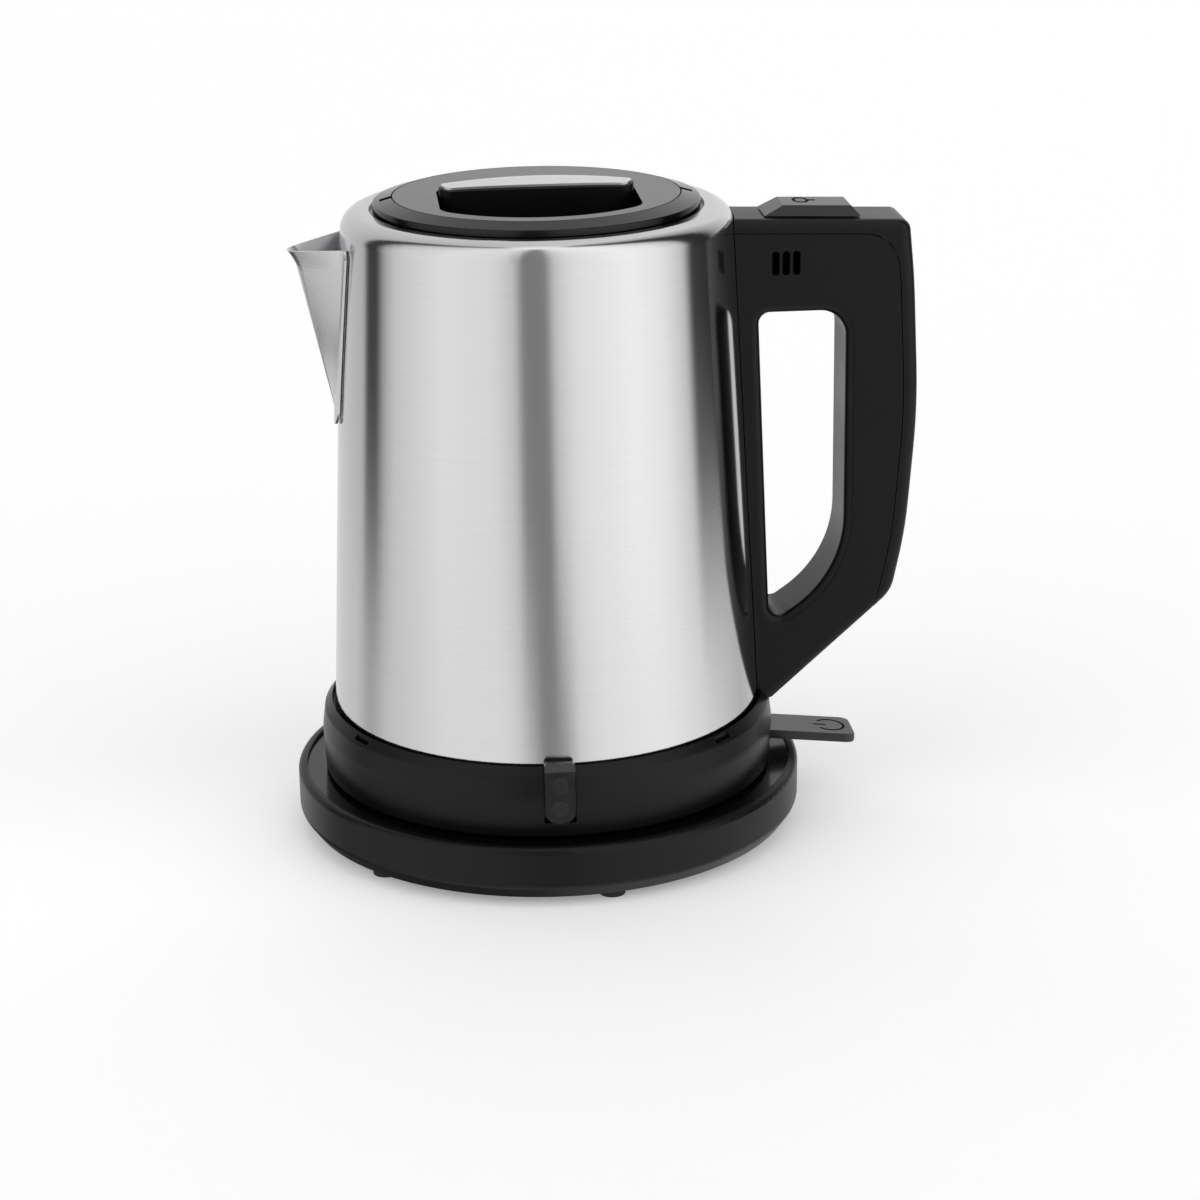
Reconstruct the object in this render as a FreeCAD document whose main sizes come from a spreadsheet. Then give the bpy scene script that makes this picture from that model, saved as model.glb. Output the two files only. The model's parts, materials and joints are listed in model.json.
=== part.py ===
import FreeCAD, Part
import math
import os
from types import SimpleNamespace

import Sketcher

# Electric kettle on a round power base: a parametric assembly in millimetres.
# The origin is on the kettle's axis at table level. +Z is up, the handle points along +X,
# the spout along -X, and the indicator lamps face -Y.

UP = FreeCAD.Vector(0, 0, 1)

SIZES = {
    # clearances shared by many pieces
    "fit_gap": 0.15,
    "cut_margin": 1.0,
    # power base
    "foot_height": 2.5,
    "foot_radius": 4.0,
    "foot_inset": 5.7,
    "foot_socket_depth": 1.0,
    "base_radius": 80.3,
    "base_height": 16.7,
    "base_wall": 2.9,
    "rim_width": 2.8,
    "rim_round": 2.0,
    "base_edge_rise": 4.0,
    "plate_drop": 1.1,
    "plate_thickness": 2.0,
    "ledge_width": 2.5,
    "ledge_thickness": 2.0,
    "cover_thickness": 2.0,
    "base_screw_inset": 25.4,
    "boss_radius": 4.0,
    "screw_radius": 1.3,
    "screw_head_radius": 2.8,
    "screw_head_height": 1.2,
    "screw_sink": 0.25,
    "cord_bore_radius": 3.3,
    "grommet_wall": 0.8,
    "grommet_collar": 0.9,
    "grommet_collar_length": 1.8,
    "grommet_length": 9.0,
    "cord_axis_height": 6.35,
    # rotary power connector
    "connector_radius": 18.4,
    "connector_flange": 3.6,
    "connector_flange_thickness": 1.0,
    "tower_radius": 13.0,
    "tower_height": 12.1,
    "contact_well_depth": 12.2,
    "neutral_well_inner": 7.4,
    "neutral_well_outer": 10.6,
    "live_well_radius": 2.7,
    "contact_wall": 0.7,
    "contact_height": 8.0,
    "pin_radius": 1.5,
    "kettle_contact_end_gap": 2.0,
    "contact_gap": 0.4,
    "shutter_width": 6.0,
    "shutter_thickness": 1.4,
    "terminal_width": 20.0,
    "terminal_depth": 12.0,
    "terminal_height": 7.5,
    "terminal_inset": 19.4,
    "lead_radius": 1.2,
    "lead_spacing": 4.0,
    "lead_height": 4.5,
    # kettle underside and collar
    "stand_rib_height": 1.0,
    "stand_rib_radius": 58.0,
    "stand_rib_width": 3.0,
    "underside_thickness": 1.8,
    "underside_hole_radius": 23.2,
    "collar_foot_radius": 71.3,
    "collar_foot_round": 0.8,
    "collar_belly_radius": 71.9,
    "collar_belly_height": 12.5,
    "collar_shoulder_radius": 71.0,
    "collar_shoulder_drop": 2.7,
    "collar_height": 22.1,
    "collar_wall": 2.4,
    "shadow_gap": 1.2,
    "shadow_gap_depth": 2.5,
    "clip_window_width": 7.0,
    "clip_window_length": 1.3,
    "clip_window_inset": 0.45,
    "clip_window_depth": 3.6,
    "toe_seat_gap": 0.8,
    # indicator tab
    "tab_width": 9.2,
    "tab_offset": 1.7,
    "tab_height": 18.6,
    "tab_top_rise": 1.6,
    "tab_round": 4.1,
    "tab_bevel": 2.0,
    "tab_proud": 0.9,
    "tab_depth": 3.6,
    "tab_gap": 0.25,
    "lamp_radius": 2.4,
    "lamp_spacing": 7.4,
    "lamp_drop": 6.8,
    "lens_thickness": 1.0,
    "board_thickness": 1.4,
    "board_height": 10.0,
    # steel jug
    "steel_radius": 67.45,
    "steel_top_radius": 59.6,
    "steel_height": 156.1,
    "steel_tuck": 8.0,
    "steel_wall": 1.0,
    "shoulder_round": 6.0,
    "mouth_inset": 8.6,
    "floor_lift": 3.3,
    "floor_thickness": 1.2,
    "diffuser_radius": 52.0,
    "diffuser_thickness": 3.0,
    "element_ring_radius": 36.0,
    "element_tube_radius": 3.3,
    "element_pin_length": 5.0,
    # control under the floor
    "control_radius": 26.0,
    "control_roof": 1.0,
    "bimetal_radius": 6.0,
    "bimetal_thickness": 0.5,
    "bimetal_offset": 16.0,
    "bimetal_clearance": 0.2,
    "steam_disc_radius": 5.0,
    "steam_disc_thickness": 1.2,
    "steam_disc_x": 56.0,
    "steam_disc_y": 19.0,
    "steam_disc_lift": 6.5,
    # spout
    "spout_drop": 9.2,
    "spout_length": 54.0,
    "spout_reach": 18.0,
    "spout_lip_flare": 3.2,
    "spout_lip_height": 8.0,
    "spout_lip_fall": 2.4,
    "spout_half_width": 15.2,
    "spout_foot_half_width": 7.6,
    "spout_tip_round": 6.0,
    "spout_foot_round": 3.0,
    "spout_wall": 0.9,
    "flange_width": 2.3,
    "flange_thickness": 0.7,
    "flange_gap": 0.5,
    "flange_foot_round": 8.4,
    # lid collar and lid
    "lid_collar_gap": 1.2,
    "lid_collar_lap": 1.3,
    "lid_collar_side": 2.1,
    "lid_collar_rise": 3.7,
    "lid_collar_neck": 8.3,
    "lid_collar_plug": 2.8,
    "lid_ledge_width": 1.5,
    "lid_ledge_depth": 4.0,
    "lid_neck_wall": 2.0,
    "key_slot_length": 3.5,
    "key_slot_width": 3.4,
    "key_slot_depth": 2.5,
    "lid_inset": 7.3,
    "lid_gap": 0.4,
    "lid_body_depth": 11.5,
    "lid_body_inset": 3.2,
    "recess_inset": 5.2,
    "recess_rear_inset": 14.5,
    "recess_end_inset": 13.5,
    "recess_corner": 10.0,
    "recess_floor": 2.5,
    "grip_end_gap": 0.6,
    "grip_end_half_width": 4.6,
    "grip_half_width": 7.6,
    "grip_crown_rise": 5.0,
    "grip_crown_radius": 12.0,
    "grip_arch_radius": 250.0,
    "inlay_inset": 0.8,
    "inlay_thickness": 0.6,
    "seal_height": 3.0,
    "seal_drop": 6.5,
    "skirt_inset": 2.5,
    "skirt_wall": 2.0,
    "skirt_depth": 13.5,
    "plug_thickness": 2.0,
    "lid_screw_inset": 13.7,
    "lid_screw_bite": 1.5,
    # handle
    "handle_half_width": 12.5,
    "handle_top_drop": 4.3,
    "handle_top_x": 113.2,
    "handle_top_fall": 1.9,
    "handle_upper_x": 115.0,
    "handle_upper_drop": 20.4,
    "handle_middle_x": 116.8,
    "handle_middle_drop": 60.8,
    "handle_lower_x": 113.6,
    "handle_lower_drop": 101.0,
    "handle_heel_x": 109.4,
    "handle_heel_fall": 20.0,
    "handle_toe_x": 71.8,
    "handle_toe_sink": 2.9,
    "handle_top_extra": 0.3,
    "handle_back_round": 220.0,
    "handle_lower_round": 150.0,
    "handle_heel_round": 12.0,
    "handle_edge_round": 3.2,
    "grip_hole_round": 2.6,
    "grip_hole_top_x": 66.6,
    "grip_hole_back_x": 93.7,
    "grip_hole_foot_x": 70.3,
    "grip_hole_drop": 29.3,
    "grip_hole_bend_fall": 13.1,
    "grip_hole_foot_fall": 29.3,
    "grip_hole_bend_round": 36.0,
    "grip_hole_corner": 8.0,
    "grip_hole_small_corner": 3.5,
    "handle_wall": 3.8,
    "cover_depth": 4.6,
    "cover_top_depth": 4.0,
    "cover_bend_round": 11.0,
    "seam_gap": 0.25,
    "vent_x": 71.6,
    "vent_pitch": 3.2,
    "vent_width": 2.3,
    "vent_height": 7.4,
    "vent_round": 1.0,
    "vent_drop": 13.8,
    "stud_radius": 2.0,
    "stud_length": 7.0,
    "stud_upper_drop": 15.0,
    "stud_lower_rise": 11.0,
    "steam_hole_radius": 3.5,
    "steam_hole_drop": 20.5,
    "duct_thickness": 2.0,
    "duct_half_width": 5.0,
    "duct_wall": 0.5,
    "duct_top_drop": 22.0,
    # lid lock
    "slide_half_width": 8.0,
    "slide_top_half_width": 6.75,
    "slide_start_x": 68.8,
    "slide_end_x": 98.4,
    "slide_front_bevel": 5.8,
    "slide_back_bevel": 2.9,
    "slide_height": 3.2,
    "slide_round": 0.8,
    "slide_gap": 0.4,
    "slide_travel": 6.0,
    "stem_start_x": 80.5,
    "stem_length": 6.0,
    "stem_half_width": 3.0,
    "bolt_half_width": 4.0,
    "bolt_thickness": 2.6,
    "bolt_drop": 9.0,
    "bolt_rest_gap": 2.8,
    "lock_clearance": 0.5,
    # power lever and switch
    "lever_pivot_x": 62.0,
    "lever_pivot_lift": 3.8,
    "lever_pin_radius": 1.5,
    "pin_clearance": 0.06,
    "lever_hub_radius": 3.0,
    "lever_half_width": 7.6,
    "lever_tip_x": 99.3,
    "lever_root_rise": 1.9,
    "lever_tip_fall": 2.1,
    "lever_thickness": 2.9,
    "lever_corner": 3.5,
    "lever_edge": 1.0,
    "lever_side_gap": 0.6,
    "lever_room_below": 3.0,
    "lever_room_above": 4.2,
    "arm_length": 14.0,
    "arm_half_width": 3.0,
    "arm_thickness": 2.2,
    "ear_thickness": 2.4,
    "ear_half_length": 2.6,
    "switch_length": 12.0,
    "switch_half_width": 7.0,
    "switch_wall": 1.5,
    "switch_height": 12.0,
    "carrier_height": 4.2,
    "carrier_gap": 0.5,
    "carrier_rib": 1.0,
}

FOOT_ANGLES = (-139, -79, -19, 41, 101, 161)
BASE_SCREW_ANGLES = (30, 150, 270)
UNDERSIDE_SCREW_ANGLES = (60, 150, 240)
LID_SCREW_ANGLES = (45, 135, 225, 315)
CLIP_WINDOW_ANGLES = (-149, -44, 44, 149)
BIMETAL_ANGLES = (90, 270)
ELEMENT_SWEEP = 300
COLD_PIN_INSET = 4

# share of a shallow corner's arms that its rounding takes up
BOW_SHARE = 0.75

# share of the grip bar's end that is rounded, and the turn of the recess's two round sides in degrees
GRIP_END_SHARE = 0.95
RECESS_TURN = 40
RECESS_REAR_TURN = 30

# levels in the curve of the spout's lip
FLARE_STEPS = 6

# shares of the spout's length, from its foot up
SPOUT_WINDOW = (0.15, 0.82)
SPOUT_CHANNEL = (0.04, 1.3)


class Size:
    """A length that carries its present value and the sheet formula behind it."""

    def __init__(self, value, formula):
        self.value = value
        self.formula = formula

    def __add__(self, other):
        other = as_size(other)
        return Size(self.value + other.value, f"({self.formula} + {other.formula})")

    def __sub__(self, other):
        other = as_size(other)
        return Size(self.value - other.value, f"({self.formula} - {other.formula})")

    def __mul__(self, other):
        other = as_size(other)
        return Size(self.value * other.value, f"({self.formula} * {other.formula})")

    def __truediv__(self, other):
        other = as_size(other)
        return Size(self.value / other.value, f"({self.formula} / {other.formula})")

    def __neg__(self):
        return Size(-self.value, f"(-1 * {self.formula})")


def as_size(number):
    """Wrap a plain number so that it can join a formula."""
    return number if isinstance(number, Size) else Size(float(number), f"({float(number)})")


def make_sheet(document):
    """Write every driving size to the sheet and return the sizes by name."""
    sheet = document.addObject("Spreadsheet::Sheet", "Dims")
    sizes = {}
    for row, (name, value) in enumerate(SIZES.items(), start=1):
        sheet.set(f"A{row}", name)
        sheet.set(f"B{row}", str(value))
        sheet.setAlias(f"B{row}", name)
        sizes[name] = Size(value, f"Dims.{name}")
    document.recompute()
    return SimpleNamespace(**sizes)


doc = FreeCAD.newDocument("ElectricKettle")
S = make_sheet(doc)
NODES = []


def node(label, piece):
    """Name a finished piece and list it for export."""
    piece.Label = label
    NODES.append(piece)
    return piece


def bind(piece, **sizes):
    """Tie properties of a piece to the sheet."""
    for prop, size in sizes.items():
        piece.setExpression(prop, as_size(size).formula)


def place(piece, x, y, z, rotation=None):
    """Put a piece at a bound position, with an optional fixed rotation."""
    if rotation:
        piece.Placement = FreeCAD.Placement(FreeCAD.Vector(), rotation)
    for axis, size in zip("xyz", (x, y, z)):
        piece.setExpression(f"Placement.Base.{axis}", as_size(size).formula)
    return piece


def block(name, x, y, z):
    """A box between three pairs of low and high limits."""
    box = doc.addObject("Part::Box", name)
    low = [as_size(pair[0]) for pair in (x, y, z)]
    high = [as_size(pair[1]) for pair in (x, y, z)]
    bind(box, Length=high[0] - low[0], Width=high[1] - low[1], Height=high[2] - low[2])
    return place(box, *low)


def rod(name, radius, low, high, first=0, second=0, axis="Z"):
    """A cylinder along an axis, at its two other coordinates in X, Y, Z order."""
    cylinder = doc.addObject("Part::Cylinder", name)
    low, high = as_size(low), as_size(high)
    bind(cylinder, Radius=radius, Height=high - low)
    if axis == "X":
        return place(cylinder, low, first, second, FreeCAD.Rotation(FreeCAD.Vector(0, 1, 0), 90))
    if axis == "Y":
        return place(cylinder, first, low, second, FreeCAD.Rotation(FreeCAD.Vector(1, 0, 0), -90))
    return place(cylinder, first, second, low)


def polar(radius, angle):
    """The X and Y of a point on a circle about the kettle's axis."""
    turn = math.radians(angle)
    return radius * math.cos(turn), radius * math.sin(turn)


def ring_of_rods(name, radius, low, high, circle, angles):
    """Equal upright cylinders on a circle about the kettle's axis."""
    return [rod(f"{name}{i}", radius, low, high, *polar(circle, angle)) for i, angle in enumerate(angles)]


def fuse(name, pieces):
    joined = doc.addObject("Part::MultiFuse", name)
    joined.Shapes = pieces
    return joined


def common(name, pieces):
    shared = doc.addObject("Part::MultiCommon", name)
    shared.Shapes = pieces
    return shared


def group(name, pieces):
    """Separate solids kept in one piece, such as a set of screws."""
    together = doc.addObject("Part::Compound", name)
    together.Links = pieces
    return together


def cut(name, base, tools):
    """Take one or more tools out of a base."""
    rest = doc.addObject("Part::Cut", name)
    rest.Base = base
    rest.Tool = tools[0] if len(tools) == 1 else fuse(name + "_tools", tools)
    return rest


def origin_plane(body, role):
    return next(f for f in body.Origin.OriginFeatures if f.Role == role)


def fix_point(sketch, geometry, vertex, u, v):
    """Hold a sketch point at bound coordinates, or on an axis where one is zero."""
    for kind, size, axis in (("DistanceX", u, -2), ("DistanceY", v, -1)):
        if not isinstance(size, Size) and size == 0:
            sketch.addConstraint(Sketcher.Constraint("PointOnObject", geometry, vertex, axis))
            continue
        size = as_size(size)
        index = sketch.addConstraint(Sketcher.Constraint(kind, -1, 1, geometry, vertex, size.value))
        sketch.setExpression(f"Constraints[{index}]", size.formula)


def number(size):
    return as_size(size).value


def corner_round(before, corner, after, radius):
    """Where a rounded corner leaves its two sides, its centre, and whether it turns left."""
    a = (before - corner).normalize()
    b = (after - corner).normalize()
    half = a.getAngle(b) / 2
    reach = radius / math.tan(half)
    centre = corner + (a + b).normalize() * (radius / math.sin(half))
    left = (corner - before).cross(after - corner).z > 0
    return corner + a * reach, corner + b * reach, centre, left


def draw_outline(sketch, corners):
    """Draw a closed outline through corners (u, v), each with an optional rounding radius."""
    points = [FreeCAD.Vector(number(c[0]), number(c[1]), 0) for c in corners]
    count = len(points)
    starts, ends, arcs = list(points), list(points), {}
    for i, corner in enumerate(corners):
        if len(corner) == 3:
            rounding = corner_round(points[i - 1], points[i], points[(i + 1) % count], number(corner[2]))
            ends[i], starts[i] = rounding[0], rounding[1]
            arcs[i] = rounding
    first = sketch.GeometryCount
    for i in range(count):
        sketch.addGeometry(Part.LineSegment(starts[i], ends[(i + 1) % count]), False)
    for i, corner in enumerate(corners):
        before, after = first + (i - 1) % count, first + i
        if i not in arcs:
            sketch.addConstraint(Sketcher.Constraint("Coincident", before, 2, after, 1))
            fix_point(sketch, after, 1, corner[0], corner[1])
            continue
        round_corner(sketch, before, after, corner, points[i], arcs[i])


def round_corner(sketch, before, after, corner, point, rounding):
    """Join two sides with a tangent arc and hold the corner they would meet in."""
    leave, join, centre, left = rounding
    begin, finish = (leave, join) if left else (join, leave)
    circle = Part.Circle(centre, UP, number(corner[2]))
    arc_shape = Part.ArcOfCircle(circle, circle.parameter(begin), circle.parameter(finish))
    arc = sketch.addGeometry(arc_shape, False)
    mark = sketch.addGeometry(Part.Point(point), True)
    begin_vertex, finish_vertex = (1, 2) if left else (2, 1)
    sketch.addConstraint(Sketcher.Constraint("Tangent", before, 2, arc, begin_vertex))
    sketch.addConstraint(Sketcher.Constraint("Tangent", arc, finish_vertex, after, 1))
    sketch.addConstraint(Sketcher.Constraint("PointOnObject", mark, 1, before))
    sketch.addConstraint(Sketcher.Constraint("PointOnObject", mark, 1, after))
    radius = as_size(corner[2])
    index = sketch.addConstraint(Sketcher.Constraint("Radius", arc, radius.value))
    sketch.setExpression(f"Constraints[{index}]", radius.formula)
    fix_point(sketch, mark, 1, corner[0], corner[1])


def new_sketch(name, role, outlines):
    """A body with one sketch of closed outlines on an origin plane."""
    body = doc.addObject("PartDesign::Body", name)
    sketch = body.newObject("Sketcher::SketchObject", name + "_sketch")
    sketch.AttachmentSupport = (origin_plane(body, role), "")
    sketch.MapMode = "FlatFace"
    for corners in outlines:
        draw_outline(sketch, corners)
    return body, sketch


def turned(name, corners):
    """A body turned about the kettle's axis from an outline of radius and height."""
    body, sketch = new_sketch(name, "XZ_Plane", [corners])
    revolution = body.newObject("PartDesign::Revolution", name + "_turn")
    revolution.Profile = sketch
    revolution.ReferenceAxis = (sketch, ["V_Axis"])
    revolution.Angle = 360
    return body


def ring(name, inner, outer, low, high):
    return turned(name, [(inner, low), (outer, low), (outer, high), (inner, high)])


def prism(name, role, outlines, half_depth):
    """A body padded equally to both sides of an origin plane."""
    body, sketch = new_sketch(name, role, outlines)
    pad = body.newObject("PartDesign::Pad", name + "_pad")
    pad.Profile = sketch
    pad.SideType = "Symmetric"
    bind(pad, Length=as_size(half_depth) * 2)
    return body


def side_prism(name, corners, half_depth):
    """A prism whose outline is seen from the side, in X and Z."""
    return prism(name, "XZ_Plane", [corners], half_depth)


BASE_Z = S.foot_height
COVER_Z = BASE_Z + S.cover_thickness
RIM_Z = BASE_Z + S.base_height
PLATE_Z = RIM_Z - S.plate_drop
PLATE_LOW_Z = PLATE_Z - S.plate_thickness
RIM_INNER = S.base_radius - S.rim_width
SHELL_INNER = S.base_radius - S.base_wall
BASE_SCREW_CIRCLE = SHELL_INNER - S.base_screw_inset
FLANGE_Z = PLATE_Z + S.connector_flange_thickness
TOWER_Z = FLANGE_Z + S.tower_height
WELL_Z = TOWER_Z - S.contact_well_depth
UNDER_Z = PLATE_Z + S.stand_rib_height
FLOOR_OF_COLLAR_Z = UNDER_Z + S.underside_thickness
COLLAR_Z = UNDER_Z + S.collar_height
STEEL_LOW_Z = COLLAR_Z - S.steel_tuck
STEEL_Z = COLLAR_Z + S.steel_height
FLOOR_Z = STEEL_LOW_Z + S.floor_lift
DIFFUSER_Z = FLOOR_Z - S.diffuser_thickness
CONTROL_Z = DIFFUSER_Z - S.bimetal_thickness - S.bimetal_clearance
CONTROL_ROOF_Z = CONTROL_Z - S.control_roof
HANDLE_Z = STEEL_Z - S.handle_top_drop
HANDLE_TOP_ROUND = S.handle_edge_round + S.handle_top_extra
HANDLE_INSIDE = S.steel_top_radius - S.handle_wall
HANDLE_SLOPE = S.handle_top_fall / (S.handle_top_x - HANDLE_INSIDE)
TOE_Z = COLLAR_Z - S.handle_toe_sink
HEEL_DROP = S.handle_lower_drop + S.handle_heel_fall
GRIP_HOLE_BEND_DROP = S.handle_lower_drop + S.grip_hole_bend_fall
GRIP_HOLE_FOOT_DROP = S.handle_lower_drop + S.grip_hole_foot_fall
LID_Z = STEEL_Z + S.lid_collar_rise
LID_LOW_Z = LID_Z - S.lid_body_depth
PLUG_LOW_Z = LID_LOW_Z - S.plug_thickness
MOUTH_RADIUS = S.steel_top_radius - S.mouth_inset
LID_COLLAR_RADIUS = MOUTH_RADIUS - S.lid_collar_gap
LID_RADIUS = MOUTH_RADIUS - S.lid_inset
LID_BODY_RADIUS = LID_RADIUS - S.lid_body_inset
SKIRT_RADIUS = LID_RADIUS - S.skirt_inset
LID_SCREW_CIRCLE = LID_RADIUS - S.lid_screw_inset
RECESS_RADIUS = LID_RADIUS - S.recess_inset
RECESS_REAR_RADIUS = RECESS_RADIUS - S.recess_rear_inset
RECESS_HALF_LENGTH = LID_RADIUS - S.recess_end_inset
GRIP_HALF_LENGTH = RECESS_HALF_LENGTH - S.grip_end_gap


def steel_radius_at(z):
    """Outer radius of the tapered steel wall at a height."""
    return S.steel_radius - (S.steel_radius - S.steel_top_radius) * (as_size(z) - COLLAR_Z) / S.steel_height


def cord_axis():
    return BASE_Z + S.cord_axis_height


def base_shell():
    """Matte outer ring with a rounded rim and a ledge that carries the top plate."""
    shell = turned("shell_ring", [
        (SHELL_INNER, BASE_Z),
        (S.base_radius, BASE_Z + S.base_edge_rise, S.rim_round),
        (S.base_radius, RIM_Z, S.rim_round),
        (RIM_INNER, RIM_Z),
        (RIM_INNER, PLATE_LOW_Z),
        (RIM_INNER - S.ledge_width, PLATE_LOW_Z),
        (RIM_INNER - S.ledge_width, PLATE_LOW_Z - S.ledge_thickness),
        (SHELL_INNER, PLATE_LOW_Z - S.ledge_thickness),
    ])
    neck = S.cord_bore_radius + S.grommet_wall + S.fit_gap
    notch = rod("cord_notch", neck, RIM_INNER - S.ledge_width * 2, S.base_radius + S.grommet_length, 0,
                cord_axis(), "Y")
    node("base_shell", cut("shell", shell, [notch]))


def base_plate():
    """Glossy top plate with screw bosses below and a hole for the connector."""
    disc = ring("plate_disc", S.connector_radius + S.fit_gap, RIM_INNER - S.fit_gap, PLATE_LOW_Z, PLATE_Z)
    bosses = ring_of_rods("plate_boss", S.boss_radius, COVER_Z, PLATE_LOW_Z + S.plate_thickness / 2,
                          BASE_SCREW_CIRCLE, BASE_SCREW_ANGLES)
    holes = ring_of_rods("plate_screw_hole", S.screw_radius + S.fit_gap, COVER_Z - S.cover_thickness,
                         PLATE_LOW_Z, BASE_SCREW_CIRCLE, BASE_SCREW_ANGLES)
    node("base_plate", cut("plate", fuse("plate_blank", [disc] + bosses), holes))


def base_cover():
    """Flat bottom cover with sunk screw heads and shallow foot sockets."""
    disc = rod("cover_disc", SHELL_INNER - S.fit_gap, BASE_Z, COVER_Z)
    heads = ring_of_rods("cover_head_hole", S.screw_head_radius + S.fit_gap, BASE_Z - S.cut_margin,
                         BASE_Z + S.screw_head_height, BASE_SCREW_CIRCLE, BASE_SCREW_ANGLES)
    holes = ring_of_rods("cover_screw_hole", S.screw_radius + S.fit_gap, BASE_Z, COVER_Z + S.cut_margin,
                         BASE_SCREW_CIRCLE, BASE_SCREW_ANGLES)
    sockets = ring_of_rods("foot_socket", S.foot_radius + S.fit_gap, BASE_Z - S.cut_margin,
                           BASE_Z + S.foot_socket_depth, SHELL_INNER - S.foot_inset, FOOT_ANGLES)
    node("base_cover", cut("cover", disc, heads + holes + sockets))


def base_feet():
    """Rubber feet pressed into the bottom cover."""
    feet = ring_of_rods("foot", S.foot_radius, 0, BASE_Z + S.foot_socket_depth,
                        SHELL_INNER - S.foot_inset, FOOT_ANGLES)
    node("base_feet", group("feet", feet))


def screws(label, head_low, head_high, tip, circle, angles):
    """Screws driven upwards, all in one piece."""
    heads = ring_of_rods(label + "_head", S.screw_head_radius, head_low, head_high, circle, angles)
    shanks = ring_of_rods(label + "_shank", S.screw_radius, head_low, tip, circle, angles)
    pairs = [fuse(f"{label}_screw{i}", list(pair)) for i, pair in enumerate(zip(heads, shanks))]
    node(label, group(label + "_set", pairs))


def base_screws():
    screws("base_screws", BASE_Z + S.screw_sink, BASE_Z + S.screw_head_height, PLATE_LOW_Z - S.fit_gap,
           BASE_SCREW_CIRCLE, BASE_SCREW_ANGLES)


def base_connector():
    """Central tower with a live well in the middle and a ring-shaped neutral well."""
    flange = S.connector_radius + S.connector_flange
    node("base_connector", turned("connector", [
        (0, COVER_Z),
        (S.connector_radius, COVER_Z),
        (S.connector_radius, PLATE_Z),
        (flange, PLATE_Z),
        (flange, FLANGE_Z),
        (S.tower_radius, FLANGE_Z),
        (S.tower_radius, TOWER_Z),
        (S.neutral_well_outer, TOWER_Z),
        (S.neutral_well_outer, WELL_Z),
        (S.neutral_well_inner, WELL_Z),
        (S.neutral_well_inner, TOWER_Z),
        (S.live_well_radius, TOWER_Z),
        (S.live_well_radius, WELL_Z),
        (0, WELL_Z),
    ]))


def base_contacts():
    """Spring sleeves of the base: live in the middle, neutral round it, earth outside."""
    top = WELL_Z + S.contact_height
    live = S.live_well_radius - S.fit_gap / 2
    node("base_live_contact", ring("live_sleeve", live - S.contact_wall, live, WELL_Z, top))
    neutral = S.neutral_well_inner + S.fit_gap / 2
    node("base_neutral_contact", ring("neutral_sleeve", neutral, neutral + S.contact_wall, WELL_Z, top))
    earth = S.tower_radius + S.fit_gap / 2
    node("base_earth_contact", ring("earth_band", earth, earth + S.contact_wall, FLANGE_Z, top))


def cord_grommet():
    """Bush that lines the cord's way into the base."""
    neck = S.cord_bore_radius + S.grommet_wall
    outer = S.base_radius + S.grommet_collar_length
    inner = outer - S.grommet_length
    body = rod("grommet_neck", neck, inner, outer, 0, cord_axis(), "Y")
    collar = rod("grommet_rim", neck + S.grommet_collar, S.base_radius, outer, 0, cord_axis(), "Y")
    bore = rod("grommet_bore", S.cord_bore_radius, inner - S.cut_margin, outer + S.cut_margin, 0,
               cord_axis(), "Y")
    node("cord_grommet", cut("grommet", fuse("grommet_blank", [body, collar]), [bore]))


def base_wiring():
    """Terminal block on the bottom cover and three short leads to the connector."""
    half = S.terminal_width / 2
    far = SHELL_INNER - S.terminal_inset
    near = far - S.terminal_depth
    node("terminal_block", block("terminal", (-half, half), (near, far),
                                 (COVER_Z, COVER_Z + S.terminal_height)))
    leads = [rod(f"lead{i}", S.lead_radius, S.connector_radius + S.fit_gap, near,
                 S.lead_spacing * side, COVER_Z + S.lead_height, "Y") for i, side in enumerate((-1, 0, 1))]
    node("base_leads", group("leads", leads))


def connector_shutter():
    """Loose guard ring round the tower, turned by the kettle standing on it."""
    inner = S.tower_radius + S.fit_gap / 2 + S.contact_wall + S.contact_gap
    node("connector_shutter", ring("shutter", inner, inner + S.shutter_width, FLANGE_Z,
                                   FLANGE_Z + S.shutter_thickness))


def kettle_underside():
    """Bottom closure with the rib that the kettle stands on and two ears for the lever pin."""
    disc = ring("under_disc", S.underside_hole_radius, collar_inner() - S.fit_gap, UNDER_Z,
                FLOOR_OF_COLLAR_Z)
    rib = ring("stand_rib", S.stand_rib_radius - S.stand_rib_width, S.stand_rib_radius, PLATE_Z,
               UNDER_Z + S.underside_thickness / 2)
    inner = S.lever_half_width + S.lever_side_gap
    length = (S.lever_pivot_x - S.ear_half_length, S.lever_pivot_x + S.ear_half_length)
    height = (UNDER_Z + S.underside_thickness / 2, lever_pivot_z() + S.ear_half_length)
    ears = [block("ear_near", length, (-inner - S.ear_thickness, -inner), height),
            block("ear_far", length, (inner, inner + S.ear_thickness), height)]
    pin_hole = rod("ear_hole", S.lever_pin_radius + S.pin_clearance, -inner * 2, inner * 2,
                   S.lever_pivot_x, lever_pivot_z(), "Y")
    holes = ring_of_rods("under_screw_hole", S.screw_radius + S.fit_gap, PLATE_Z, COLLAR_Z,
                         boss_circle(), UNDERSIDE_SCREW_ANGLES)
    heads = ring_of_rods("under_head_hole", S.screw_head_radius + S.fit_gap, PLATE_Z,
                         UNDER_Z + S.screw_head_height, boss_circle(), UNDERSIDE_SCREW_ANGLES)
    blank = fuse("under_blank", [disc, rib] + ears)
    node("kettle_underside", cut("underside", blank, [pin_hole] + holes + heads))


def boss_circle():
    """Radius of the circle of screws that hold the underside to the collar."""
    return S.stand_rib_radius - S.stand_rib_width * 2


def collar_inner():
    return S.collar_foot_radius - S.collar_wall


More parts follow.
